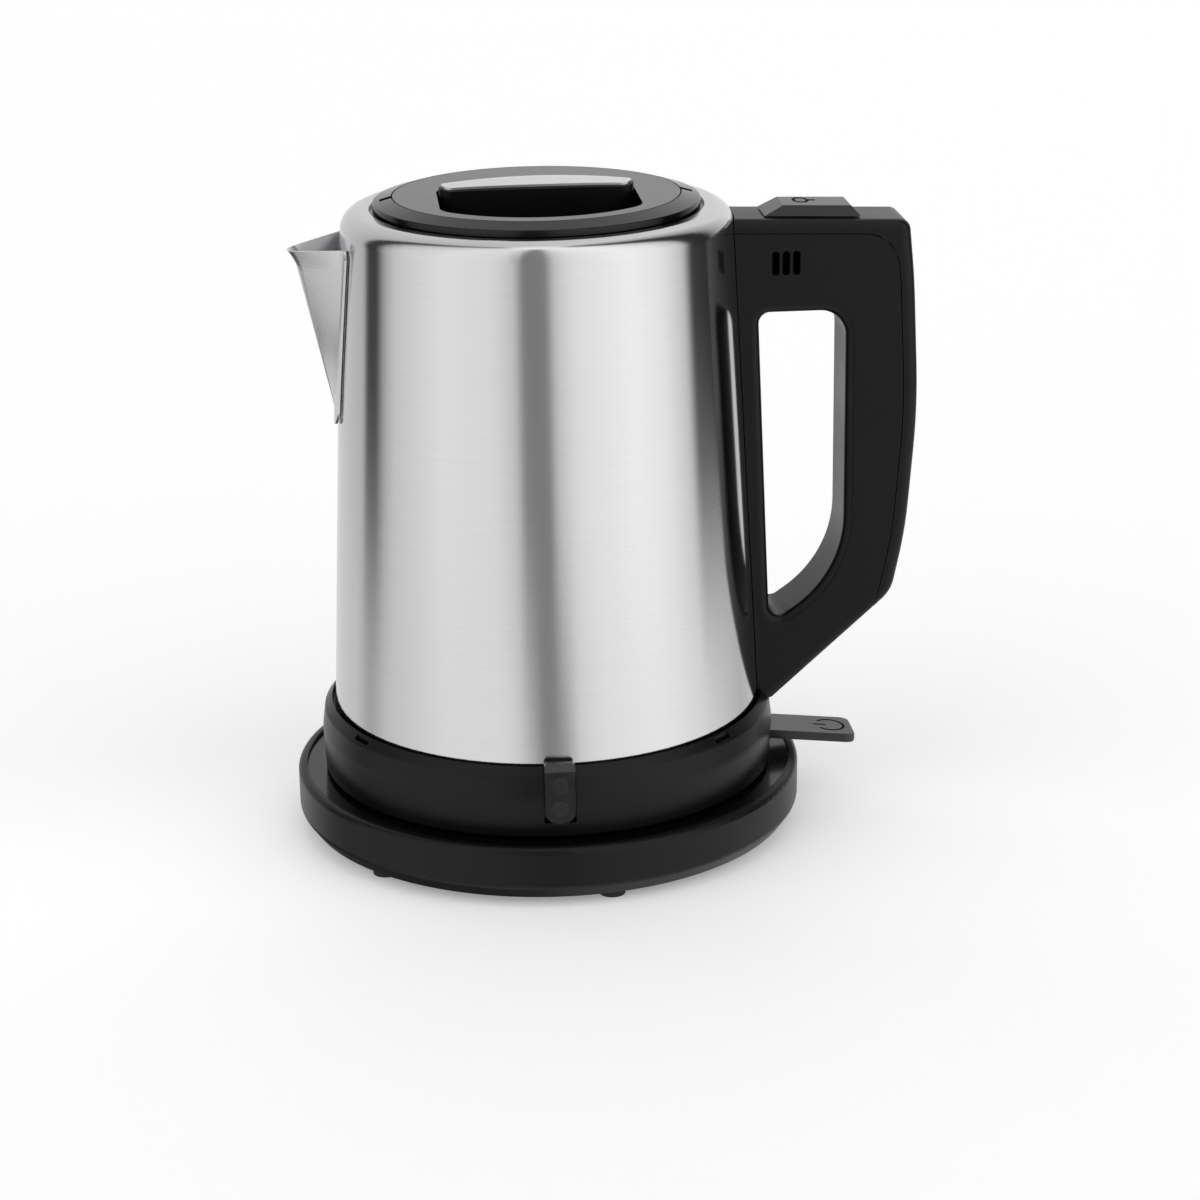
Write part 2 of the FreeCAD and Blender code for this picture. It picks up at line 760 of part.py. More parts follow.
def ledge_inner():
    """Inner radius of the collar's sloping ledge, a narrow dark gap away from the jug."""
    return S.steel_radius + S.shadow_gap


def collar_boss(i, angle):
    """Screw boss with a web to the collar's wall."""
    circle = boss_circle()
    x, y = polar(circle, angle)
    post = rod(f"collar_boss{i}", S.boss_radius, FLOOR_OF_COLLAR_Z, STEEL_LOW_Z - S.fit_gap * 2, x, y)
    web = doc.addObject("Part::Box", f"collar_web{i}")
    bind(web, Length=collar_inner() - circle + S.collar_wall / 2, Width=S.collar_wall,
         Height=S.collar_belly_height - S.underside_thickness - S.collar_wall / 2)
    turn = math.radians(angle)
    half = S.collar_wall / 2
    place(web, x + half * math.sin(turn), y - half * math.cos(turn), FLOOR_OF_COLLAR_Z,
          FreeCAD.Rotation(UP, angle))
    return fuse(f"collar_post{i}", [post, web])


def clip_window(i, angle):
    """Tool for one of the small dark windows in the collar's shoulder."""
    window = doc.addObject("Part::Box", f"clip_window{i}")
    bind(window, Length=S.clip_window_length, Width=S.clip_window_width, Height=S.clip_window_depth * 2)
    x, y = polar(ledge_inner() + S.clip_window_inset, angle)
    turn = math.radians(angle)
    half = S.clip_window_width / 2
    return place(window, x + half * math.sin(turn), y - half * math.cos(turn),
                 COLLAR_Z - S.clip_window_depth, FreeCAD.Rotation(UP, angle))


def kettle_collar():
    """Black skirt round the foot of the steel jug."""
    seat = steel_radius_at(STEEL_LOW_Z) + S.fit_gap
    wall = turned("collar_wall_ring", [
        (collar_inner(), UNDER_Z),
        (S.collar_foot_radius, UNDER_Z, S.collar_foot_round),
        (S.collar_belly_radius, UNDER_Z + S.collar_belly_height, S.collar_belly_height),
        (S.collar_shoulder_radius, COLLAR_Z - S.collar_shoulder_drop, S.collar_shoulder_drop / 2),
        (ledge_inner(), COLLAR_Z),
        (ledge_inner(), COLLAR_Z - S.shadow_gap_depth),
        (S.steel_radius + S.fit_gap * 2, COLLAR_Z - S.shadow_gap_depth),
        (seat, STEEL_LOW_Z),
        (seat - S.steel_wall, STEEL_LOW_Z),
        (collar_inner(), STEEL_LOW_Z - S.collar_wall),
    ])
    posts = [collar_boss(i, angle) for i, angle in enumerate(UNDERSIDE_SCREW_ANGLES)]
    reach = S.lever_half_width + S.lever_side_gap
    lever_slot = block("lever_slot", (collar_inner() - S.collar_wall, S.collar_belly_radius + S.collar_wall),
                       (-reach, reach),
                       (lever_pivot_z() - S.lever_room_below, lever_pivot_z() + S.lever_room_above))
    half = S.tab_width / 2 + S.tab_gap
    tab_seat = block("tab_seat", (-S.tab_offset - half, half - S.tab_offset),
                     (-S.base_radius, tab_back() + S.tab_gap),
                     (tab_low() - S.tab_gap, COLLAR_Z + S.tab_top_rise))
    duct_half = S.duct_half_width + S.fit_gap * 2
    duct_x = (S.steel_radius - S.steel_wall, S.steel_radius + S.duct_thickness + S.cut_margin)
    duct_slot = block("duct_slot", duct_x, (-duct_half, duct_half),
                      (STEEL_LOW_Z - S.cut_margin, COLLAR_Z + S.cut_margin))
    holes = ring_of_rods("collar_screw_hole", S.screw_radius + S.fit_gap, UNDER_Z,
                         STEEL_LOW_Z - S.collar_wall, boss_circle(), UNDERSIDE_SCREW_ANGLES)
    toe_half = S.handle_half_width + S.fit_gap * 2
    toe_seat = block("toe_seat", (S.steel_radius - S.collar_wall, S.collar_belly_radius + S.collar_wall),
                     (-toe_half, toe_half), (TOE_Z - S.toe_seat_gap, COLLAR_Z + S.cut_margin))
    windows = [clip_window(i, angle) for i, angle in enumerate(CLIP_WINDOW_ANGLES)]
    blank = fuse("collar_blank", [wall] + posts)
    slots = [lever_slot, tab_seat, duct_slot, toe_seat]
    node("kettle_collar", cut("collar", blank, slots + holes + windows))


def underside_screws():
    screws("underside_screws", UNDER_Z + S.screw_sink, UNDER_Z + S.screw_head_height,
           STEEL_LOW_Z - S.collar_wall * 2, boss_circle(), UNDERSIDE_SCREW_ANGLES)


def tab_front():
    return -S.collar_belly_radius - S.tab_proud


def tab_back():
    return tab_front() + S.tab_depth


def tab_low():
    return COLLAR_Z + S.tab_top_rise - S.tab_height


def lamp_heights():
    upper = COLLAR_Z + S.tab_top_rise - S.lamp_drop
    return upper, upper - S.lamp_spacing


def indicator_tab():
    """Smoked tab on the collar with two lamps behind it and a small board inside."""
    half = S.tab_width / 2
    middle = -S.tab_offset
    top = COLLAR_Z + S.tab_top_rise
    shape = side_prism("tab_shape", [
        (middle - half, tab_low(), S.tab_round),
        (middle + half, tab_low(), S.tab_round),
        (middle + half, top, S.lens_thickness),
        (middle - half, top, S.lens_thickness),
    ], S.base_radius)
    slab = prism("tab_slab", "YZ_Plane", [[
        (tab_back(), BASE_Z), (tab_front(), BASE_Z), (tab_front(), top - S.tab_bevel),
        (tab_front() + S.tab_bevel, top), (tab_back(), top),
    ]], S.tab_width * 2)
    wells = [rod(f"lamp_well{i}", S.lamp_radius + S.fit_gap, tab_front() + S.lens_thickness,
                 tab_back() + S.cut_margin, middle, height, "Y") for i, height in enumerate(lamp_heights())]
    node("indicator_lens", cut("lens", common("tab_blank", [shape, slab]), wells))
    lamps = [rod(f"lamp{i}", S.lamp_radius, tab_front() + S.lens_thickness + S.fit_gap, tab_back(),
                 middle, height, "Y") for i, height in enumerate(lamp_heights())]
    node("indicator_lamps", group("lamps", lamps))
    face = -collar_inner() + S.board_thickness
    node("lamp_board", block("board", (middle - half, middle + half), (face, face + S.board_thickness),
                             (FLOOR_OF_COLLAR_Z, FLOOR_OF_COLLAR_Z + S.board_height)))


def wall_at(z, inset):
    return steel_radius_at(z) - inset


def steel_body():
    """Tapered brushed jug with a rolled shoulder, open for the spout, the steam and the lock bolt."""
    under_top = STEEL_Z - S.steel_wall
    jug = turned("jug_wall", [
        (wall_at(STEEL_LOW_Z, 0), STEEL_LOW_Z),
        (S.steel_top_radius, STEEL_Z, S.shoulder_round),
        (MOUTH_RADIUS, STEEL_Z),
        (MOUTH_RADIUS, under_top),
        (wall_at(under_top, S.steel_wall), under_top, S.shoulder_round - S.steel_wall),
        (wall_at(STEEL_LOW_Z, S.steel_wall), STEEL_LOW_Z),
    ])
    steam = rod("steam_hole", S.steam_hole_radius, MOUTH_RADIUS, S.steel_radius, 0,
                HANDLE_Z - S.steam_hole_drop, "X")
    bolt = block("bolt_slot", (MOUTH_RADIUS, S.steel_radius),
                 (-S.bolt_half_width - S.lock_clearance, S.bolt_half_width + S.lock_clearance),
                 (bolt_low() - S.lock_clearance, bolt_low() + S.bolt_thickness + S.lock_clearance))
    node("steel_body", cut("jug", jug, [spout_bore(), steam, bolt]))


def spout_top():
    return STEEL_Z - S.spout_drop


def beak_section(share, reach, half_width, fold, inset):
    """One level of the spout's folded sheet, as a closed wire reaching into the jug."""
    z = number(spout_top()) - S.spout_length.value * (1 - share)
    wall = number(steel_radius_at(z))
    tip = -(wall + reach - inset)
    root = -(wall - S.spout_lip_height.value)
    side = half_width - inset
    radius = fold - inset
    centre = tip + radius
    away = -wall - centre
    turn = math.atan2(side, away) + math.acos(radius / math.hypot(away, side))
    bend = FreeCAD.Vector(centre + radius * math.cos(turn), radius * math.sin(turn), z)
    points = [FreeCAD.Vector(root, side, z), FreeCAD.Vector(-wall, side, z), bend, FreeCAD.Vector(tip, 0, z)]
    mirror = [FreeCAD.Vector(p.x, -p.y, p.z) for p in points]
    edges = [Part.LineSegment(points[0], points[1]).toShape(),
             Part.LineSegment(points[1], points[2]).toShape(),
             Part.Arc(points[2], points[3], mirror[2]).toShape(),
             Part.LineSegment(mirror[2], mirror[1]).toShape(),
             Part.LineSegment(mirror[1], mirror[0]).toShape(),
             Part.LineSegment(mirror[0], points[0]).toShape()]
    return Part.Wire(edges)


def beak(inset, foot_share, head_share):
    """The spout's beak between two shares of its length, drawn in by an inset."""
    lip = 1 - S.spout_lip_height.value / S.spout_length.value
    foot = S.flange_gap.value
    straight = S.spout_reach.value - S.spout_lip_flare.value

    def level(share):
        flare = S.spout_lip_flare.value * max(0, (share - lip) / (1 - lip)) ** 2
        side = S.spout_foot_half_width.value * (1 - share) + S.spout_half_width.value * share
        fold = S.spout_foot_round.value * (1 - share) + S.spout_tip_round.value * share
        return beak_section(share, foot * (1 - share) + straight * share + flare, side, fold, inset)

    steps = [lip + (1 - lip) * i / FLARE_STEPS for i in range(FLARE_STEPS + 1)]
    bends = [share for share in steps if foot_share < share < head_share]
    shares = [foot_share] + bends + [head_share]
    return Part.makeLoft([level(share) for share in shares], True, True)


def spout_bore():
    """Tool for the window in the jug behind the spout."""
    window = doc.addObject("Part::Feature", "spout_window")
    window.Shape = beak(S.spout_wall.value, *SPOUT_WINDOW)
    return window


def jug_cone(offset):
    """Solid cone that follows the jug's outer wall at an offset."""
    low, high = number(STEEL_LOW_Z), number(STEEL_Z)
    return Part.makeCone(number(steel_radius_at(low)) + offset, number(steel_radius_at(high)) + offset,
                         high - low, FreeCAD.Vector(0, 0, low), UP)


def level_edges(shape):
    """The straight edges of a shape that run along X."""
    return [e for e in shape.Edges if e.BoundBox.YLength + e.BoundBox.ZLength < 2 * S.fit_gap.value]


def spout_flange():
    """Thin curved sheet round the spout's root, a dark gap away from the jug's wall."""
    top = number(spout_top())
    low = top - S.spout_length.value - S.flange_width.value
    wide = S.spout_half_width.value + S.flange_width.value
    narrow = S.spout_foot_half_width.value + S.flange_width.value
    far = -S.base_radius.value
    outline = [FreeCAD.Vector(far, -wide, top), FreeCAD.Vector(far, -narrow, low),
               FreeCAD.Vector(far, narrow, low), FreeCAD.Vector(far, wide, top)]
    slab = Part.Face(Part.makePolygon(outline + outline[:1])).extrude(FreeCAD.Vector(-far, 0, 0))
    middle = (top + low) / 2
    feet = [e for e in level_edges(slab) if e.BoundBox.ZMax < middle]
    slab = slab.makeFillet(S.flange_foot_round.value, feet)
    heads = [e for e in level_edges(slab) if e.BoundBox.ZMin > top - S.flange_width.value]
    slab = slab.makeFillet(S.flange_width.value, heads)
    gap = S.flange_gap.value
    sheet = jug_cone(gap + S.flange_thickness.value).cut(jug_cone(gap))
    return sheet.common(slab)


def spout():
    """Folded steel beak welded to the jug by its flange, open at the top."""
    beak_sheet = beak(0, 0, 1).cut(jug_cone(S.fit_gap.value))
    whole = beak_sheet.fuse(spout_flange()).cut(beak(S.spout_wall.value, *SPOUT_CHANNEL))
    top = number(spout_top())
    fall = math.degrees(math.atan2(S.spout_lip_fall.value, S.spout_reach.value))
    trim = Part.makeBox(S.base_radius.value, S.base_radius.value, S.spout_lip_height.value * 3)
    trim.translate(FreeCAD.Vector(-S.base_radius.value, -S.base_radius.value / 2, 0))
    trim.rotate(FreeCAD.Vector(), FreeCAD.Vector(0, 1, 0), -fall)
    trim.translate(FreeCAD.Vector(-number(steel_radius_at(top)), 0, top))
    piece = doc.addObject("Part::Feature", "spout_piece")
    piece.Shape = largest(whole.cut(trim))
    node("spout", piece)


def largest(shape):
    """The biggest solid of a shape."""
    return max(shape.Solids, key=lambda solid: solid.Volume)


def jug_floor():
    """Steel floor, aluminium heat spreader, heating element and its two cold pins."""
    floor_radius = wall_at(FLOOR_Z + S.floor_thickness, S.steel_wall) - S.fit_gap
    node("floor_plate", rod("floor", floor_radius, FLOOR_Z, FLOOR_Z + S.floor_thickness))
    node("diffuser_plate", rod("diffuser", S.diffuser_radius, DIFFUSER_Z, FLOOR_Z))
    tube = doc.addObject("Part::Torus", "element_tube")
    bind(tube, Radius1=S.element_ring_radius, Radius2=S.element_tube_radius)
    tube.Angle3 = ELEMENT_SWEEP
    axis_z = DIFFUSER_Z - S.element_tube_radius - S.fit_gap / 2
    start = (360 - ELEMENT_SWEEP) / 2 - 90
    place(tube, 0, 0, axis_z, FreeCAD.Rotation(UP, start))
    ends = (start, start + ELEMENT_SWEEP)
    pins = ring_of_rods("cold_pin", S.pin_radius, axis_z - S.element_tube_radius - S.element_pin_length / 2,
                        axis_z, S.element_ring_radius, (ends[0] + COLD_PIN_INSET, ends[1] - COLD_PIN_INSET))
    node("heating_element", fuse("element", [tube] + pins))


def control_unit():
    """Plastic control housing whose cup drops over the base's tower."""
    earth = S.tower_radius + S.fit_gap / 2 + S.contact_wall * 2 + S.contact_gap
    cup = earth + S.fit_gap
    node("control_unit", turned("control", [
        (cup, FLOOR_OF_COLLAR_Z),
        (S.control_radius, FLOOR_OF_COLLAR_Z),
        (S.control_radius, CONTROL_Z),
        (0, CONTROL_Z),
        (0, CONTROL_ROOF_Z),
        (cup, CONTROL_ROOF_Z),
    ]))
    low = WELL_Z + S.kettle_contact_end_gap
    node("kettle_live_pin", rod("live_pin", S.pin_radius, low, CONTROL_ROOF_Z))
    neutral = S.neutral_well_inner + S.fit_gap / 2 + S.contact_wall + S.contact_gap
    node("kettle_neutral_ring", ring("neutral_tube", neutral, neutral + S.contact_wall, low, CONTROL_ROOF_Z))
    node("kettle_earth_ring", ring("earth_tube", earth - S.contact_wall, earth, FLOOR_OF_COLLAR_Z,
                                   CONTROL_ROOF_Z))
    discs = ring_of_rods("bimetal", S.bimetal_radius, CONTROL_Z, CONTROL_Z + S.bimetal_thickness,
                         S.bimetal_offset, BIMETAL_ANGLES)
    node("bimetal_discs", group("bimetals", discs))


def steam_bimetal():
    """Steam-sensing disc on a post beside the lever."""
    centre_z = FLOOR_OF_COLLAR_Z + S.steam_disc_lift
    end_x = S.steam_disc_x + S.steam_disc_thickness
    disc = rod("steam_disc", S.steam_disc_radius, S.steam_disc_x, end_x, S.steam_disc_y, centre_z, "X")
    half = S.steam_disc_radius / 2
    post = block("steam_post", (S.steam_disc_x, end_x), (S.steam_disc_y - half, S.steam_disc_y + half),
                 (FLOOR_OF_COLLAR_Z, centre_z))
    node("steam_bimetal", fuse("steam_sensor", [disc, post]))


def lid_collar():
    """Glossy ring snapped under the jug's mouth, with a ledge that carries the lid."""
    inner = LID_RADIUS + S.lid_gap
    ledge = inner - S.lid_ledge_width
    neck_low = STEEL_Z - S.lid_collar_neck
    lip = STEEL_Z - S.steel_wall - S.fit_gap
    body = turned("lid_ring", [
        (ledge, neck_low),
        (ledge + S.lid_neck_wall, neck_low),
        (ledge + S.lid_neck_wall, STEEL_Z - S.lid_collar_plug),
        (MOUTH_RADIUS + S.lid_collar_lap, STEEL_Z - S.lid_collar_plug),
        (MOUTH_RADIUS + S.lid_collar_lap, lip),
        (LID_COLLAR_RADIUS, lip),
        (LID_COLLAR_RADIUS, STEEL_Z + S.lid_collar_side, S.lid_collar_side / 4),
        (inner, LID_Z),
        (inner, LID_Z - S.lid_ledge_depth),
        (ledge, LID_Z - S.lid_ledge_depth),
    ])
    half = S.key_slot_width / 2
    ends = (inner - S.cut_margin, inner + S.key_slot_length)
    height = (LID_Z - S.key_slot_depth, LID_Z + S.cut_margin)
    slots = [block("key_slot_back", ends, (-half, half), height),
             block("key_slot_front", (-ends[1], -ends[0]), (-half, half), height)]
    node("lid_collar", cut("mouth_ring", body, slots))


def recess_outline():
    """Plan of the recess: a wide dish for the fingers, a narrower one for the thumb behind the grip."""
    end = RECESS_HALF_LENGTH
    corner = S.recess_corner
    front, rear = math.radians(RECESS_TURN), math.radians(RECESS_REAR_TURN)
    front_peak, rear_peak = RECESS_RADIUS / math.cos(front), RECESS_REAR_RADIUS / math.cos(rear)
    front_side = front_peak - end * math.tan(front)
    rear_side = rear_peak - end * math.tan(rear)
    return [(end, -front_side, corner), (end, rear_side, corner), (0, rear_peak, RECESS_REAR_RADIUS),
            (-end, rear_side, corner), (-end, -front_side, corner), (0, -front_peak, RECESS_RADIUS)]


def lid_plate():
    """Round lid with a deep finger recess."""
    flange_low = LID_Z - S.lid_ledge_depth
    disc = turned("lid_disc", [
        (0, LID_LOW_Z),
        (LID_BODY_RADIUS, LID_LOW_Z),
        (LID_BODY_RADIUS, flange_low),
        (LID_RADIUS, flange_low),
        (LID_RADIUS, LID_Z),
        (0, LID_Z),
    ])
    plan = prism("recess_plan", "XY_Plane", [recess_outline()], LID_Z * 2)
    room = rod("recess_room", LID_RADIUS, LID_LOW_Z + S.recess_floor, LID_Z + S.cut_margin)
    holes = ring_of_rods("lid_screw_hole", S.screw_radius + S.fit_gap, LID_LOW_Z - S.cut_margin,
                         LID_LOW_Z + S.lid_screw_bite + S.fit_gap, LID_SCREW_CIRCLE, LID_SCREW_ANGLES)
    node("lid_plate", cut("lid_top", disc, [common("recess", [plan, room])] + holes))


def bow(reach, rise):
    """Radius that bows a corner whose two equal arms rise a little over their reach."""
    return reach * reach * BOW_SHARE / rise


def grip_plan(name, inset):
    """Plan of the lid's grip bar: slightly bowed sides and rounded ends."""
    end = GRIP_HALF_LENGTH - inset
    tip = S.grip_end_half_width - inset
    mid = S.grip_half_width - inset
    corner = tip * GRIP_END_SHARE
    side = bow(end, mid - tip)
    return prism(name, "XY_Plane", [[
        (end, -tip, corner), (end, tip, corner), (0, mid, side),
        (-end, tip, corner), (-end, -tip, corner), (0, -mid, side),
    ]], LID_Z * 2)


def grip_crown(name, sink):
    """Part of a great torus whose outside is the bar's top, arched along it and round across it."""
    crown = doc.addObject("Part::Torus", name)
    bind(crown, Radius1=S.grip_arch_radius - S.grip_crown_radius, Radius2=S.grip_crown_radius - sink)
    upright = FreeCAD.Rotation(FreeCAD.Vector(1, 0, 0), 90)
    return place(crown, 0, 0, LID_Z + S.grip_crown_rise - S.grip_arch_radius, upright)


def grip_room(name, low):
    """Everything inside the lid's circle from a height up."""
    return rod(name, LID_RADIUS, low, LID_Z + S.grip_crown_rise + S.cut_margin)


def lid_grip():
    """Crowned grip bar standing in the recess, with a metal inlay on top."""
    bar_crown = grip_crown("bar_crown", S.inlay_thickness)
    bar_room = grip_room("bar_room", LID_LOW_Z + S.recess_floor)
    node("lid_grip", common("grip", [grip_plan("bar_plan", 0), bar_crown, bar_room]))
    sheet = cut("inlay_sheet", grip_crown("inlay_crown", 0), [grip_crown("inlay_under", S.inlay_thickness)])
    inlay_room = grip_room("inlay_room", LID_Z)
    node("grip_inlay", common("inlay", [grip_plan("inlay_plan", S.inlay_inset), sheet, inlay_room]))


def lid_plug():
    """Lower half of the lid: a disc with a skirt that the lock bolt enters."""
    low = PLUG_LOW_Z + S.plug_thickness - S.skirt_depth
    body = turned("plug_body", [
        (0, PLUG_LOW_Z),
        (SKIRT_RADIUS - S.skirt_wall, PLUG_LOW_Z),
        (SKIRT_RADIUS - S.skirt_wall, low),
        (SKIRT_RADIUS, low),
        (SKIRT_RADIUS, LID_LOW_Z),
        (0, LID_LOW_Z),
    ])
    slot = block("skirt_slot", (SKIRT_RADIUS - S.skirt_wall * 2, SKIRT_RADIUS + S.cut_margin),
                 (-S.bolt_half_width - S.lock_clearance * 2, S.bolt_half_width + S.lock_clearance * 2),
                 (bolt_low() - S.lock_clearance * 2, bolt_low() + S.bolt_thickness + S.lock_clearance * 2))
    holes = ring_of_rods("plug_screw_hole", S.screw_radius + S.fit_gap, PLUG_LOW_Z - S.cut_margin,
                         LID_LOW_Z + S.cut_margin, LID_SCREW_CIRCLE, LID_SCREW_ANGLES)
    node("lid_plug", cut("plug", body, [slot] + holes))


def lid_seal():
    """Silicone ring between the lid and the neck of the collar."""
    outer = LID_RADIUS + S.lid_gap - S.lid_ledge_width - S.lid_gap
    top = LID_Z - S.seal_drop
    node("lid_seal", ring("seal", LID_BODY_RADIUS + S.fit_gap, outer, top - S.seal_height, top))


def lid_screws():
    screws("lid_screws", PLUG_LOW_Z - S.screw_head_height, PLUG_LOW_Z, LID_LOW_Z + S.lid_screw_bite,
           LID_SCREW_CIRCLE, LID_SCREW_ANGLES)


def handle_drop(size):
    return HANDLE_Z - size


def handle_top_at(x):
    """Height of the handle's sloping top."""
    return HANDLE_Z - HANDLE_SLOPE * (as_size(x) - HANDLE_INSIDE)


def handle_outline():
    """Side view of the handle: sloping top, bowed back, heel, and a toe over the collar."""
    return [
        (HANDLE_INSIDE, TOE_Z),
        (S.handle_toe_x, TOE_Z),
        (S.handle_heel_x, handle_drop(HEEL_DROP), S.handle_heel_round),
        (S.handle_lower_x, handle_drop(S.handle_lower_drop), S.handle_lower_round),
        (S.handle_middle_x, handle_drop(S.handle_middle_drop), S.handle_back_round),
        (S.handle_upper_x, handle_drop(S.handle_upper_drop), S.handle_back_round),
        (S.handle_top_x, HANDLE_Z - S.handle_top_fall, HANDLE_TOP_ROUND),
        (HANDLE_INSIDE, HANDLE_Z),
    ]


def grip_hole_outline():
    """Side view of the opening for the fingers."""
    top = handle_drop(S.grip_hole_drop)
    return [
        (S.grip_hole_top_x, top, S.grip_hole_small_corner),
        (S.grip_hole_foot_x, handle_drop(GRIP_HOLE_FOOT_DROP), S.grip_hole_small_corner),
        (S.grip_hole_back_x, handle_drop(GRIP_HOLE_BEND_DROP), S.grip_hole_bend_round),
        (S.grip_hole_back_x, top, S.grip_hole_corner),
    ]


def side_edges(shape, hole_only):
    """Names of the edges that bound the handle's two flat sides, round the grip hole or outside."""
    inside, toe = number(HANDLE_INSIDE), number(TOE_Z)
    margin = S.cut_margin.value
    low_x, high_x = S.grip_hole_top_x.value - margin, S.grip_hole_back_x.value + margin
    low_z = number(handle_drop(GRIP_HOLE_FOOT_DROP)) - margin
    high_z = number(handle_drop(S.grip_hole_drop)) + margin
    half = S.handle_half_width.value
    names = []
    for i, edge in enumerate(shape.Edges, start=1):
        box = edge.BoundBox
        on_side = box.YLength < 1e-6 and abs(abs(box.YMin) - half) < 1e-6
        in_hole = low_x < box.XMin and box.XMax < high_x and low_z < box.ZMin and box.ZMax < high_z
        on_end = box.XMax < inside + 1e-3 or box.ZMax < toe + 1e-3
        if on_side and in_hole == hole_only and not on_end:
            names.append(f"Edge{i}")
    return names


def round_edges(body, name, hole_only, radius):
    """Round one loop of the handle's side edges."""
    base = body.Tip
    edges = side_edges(base.Shape, hole_only)
    fillet = body.newObject("PartDesign::Fillet", name)
    fillet.Base = (base, edges)
    bind(fillet, Radius=radius)
    doc.recompute()


def handle_blank():
    """The whole handle with rounded edges, before it is split into core and cover."""
    body = prism("handle_blank", "XZ_Plane", [handle_outline(), grip_hole_outline()], S.handle_half_width)
    doc.recompute()
    round_edges(body, "handle_hole_round", True, S.grip_hole_round)
    round_edges(body, "handle_outer_round", False, S.handle_edge_round)
    return body


def cover_region(name, gap):
    """Everything above and behind the seam between the handle's core and its cover."""
    depth = S.cover_depth + gap
    top_depth = S.cover_top_depth + gap
    bend_x = S.handle_upper_x - depth - HANDLE_TOP_ROUND / 2
    far = S.handle_middle_x + S.handle_wall * 4
    above = HANDLE_Z + S.handle_wall * 3
    foot = handle_drop(HEEL_DROP) - S.handle_heel_round
    slope = (S.handle_lower_x - S.handle_heel_x) / (HEEL_DROP - S.handle_lower_drop)
    foot_x = S.handle_heel_x - slope * S.handle_heel_round
    return side_prism(name, [
        (0, handle_top_at(0) - top_depth),
        (bend_x, handle_top_at(bend_x) - top_depth, S.cover_bend_round),
        (S.handle_upper_x - depth, handle_drop(S.handle_upper_drop)),
        (S.handle_middle_x - depth, handle_drop(S.handle_middle_drop), S.handle_back_round),
        (S.handle_lower_x - depth, handle_drop(S.handle_lower_drop), S.handle_back_round / 2),
        (foot_x - depth, foot),
        (far, foot),
        (far, above),
        (0, above),
    ], S.handle_half_width * 2)


def handle_cavity():
    """Hollow of the core: the upper arm and the grip, both open towards the cover."""
    wall = S.handle_wall
    inner_x = steel_radius_at(HANDLE_Z) + wall
    arm_floor = handle_drop(S.grip_hole_drop) + wall
    grip_x = S.grip_hole_back_x + wall
    low = handle_drop(S.handle_lower_drop) - wall
    return side_prism("handle_cavity", [
        (inner_x, arm_floor), (grip_x, arm_floor, wall), (grip_x, low),
        (S.handle_middle_x, low), (S.handle_middle_x, HANDLE_Z), (inner_x, HANDLE_Z),
    ], S.handle_half_width - wall)


def vent_slots():
    """Three upright slots through the near side of the handle's upper arm."""
    slots = []
    top = handle_drop(S.vent_drop) + S.vent_height / 2
    round_end = S.vent_round
    for i in range(3):
        low_x = S.vent_x + S.vent_pitch * i - S.vent_width / 2
        slots.append(side_prism(f"vent{i}", [
            (low_x, top - S.vent_height, round_end), (low_x + S.vent_width, top - S.vent_height, round_end),
            (low_x + S.vent_width, top, round_end), (low_x, top, round_end),
        ], S.handle_half_width * 2))
    near_side = block("vent_side", (HANDLE_INSIDE, S.handle_top_x), (-S.handle_half_width * 2, 0),
                      (top - S.vent_height * 2, top + S.vent_height))
    return common("vents", [fuse("vent_set", slots), near_side])


def jug_clearance():
    """Tool that leaves the handle just clear of the jug's wall."""
    low, high = COLLAR_Z - S.collar_height, STEEL_Z + S.shoulder_round
    cone = doc.addObject("Part::Cone", "jug_clearance")
    bind(cone, Radius1=steel_radius_at(low) + S.fit_gap, Radius2=steel_radius_at(high) + S.fit_gap,
         Height=high - low)
    return place(cone, 0, 0, low)


def duct_sheet(name, start, end, half_width, low, high):
    """A flat slab that follows the jug's wall on the handle side, between two offsets."""
    return side_prism(name, [
        (steel_radius_at(low) + start, low), (steel_radius_at(low) + end, low),
        (steel_radius_at(high) + end, high), (steel_radius_at(high) + start, high),
    ], half_width)


def duct_ends():
    return STEEL_LOW_Z + S.fit_gap, handle_drop(S.duct_top_drop)


def steam_tube():
    """Flat duct behind the handle that leads steam down to the switch."""
    low, high = duct_ends()
    start = S.fit_gap * 2
    end = start + S.duct_thickness
    skin = duct_sheet("duct_skin", start, end, S.duct_half_width, low, high)
    hollow = duct_sheet("duct_hollow", start + S.duct_wall, end - S.duct_wall,
                        S.duct_half_width - S.duct_wall, low - S.cut_margin, high + S.cut_margin)
    node("steam_tube", cut("duct", skin, [hollow]))


def stud_heights():
    return handle_drop(S.stud_upper_drop), COLLAR_Z + S.stud_lower_rise


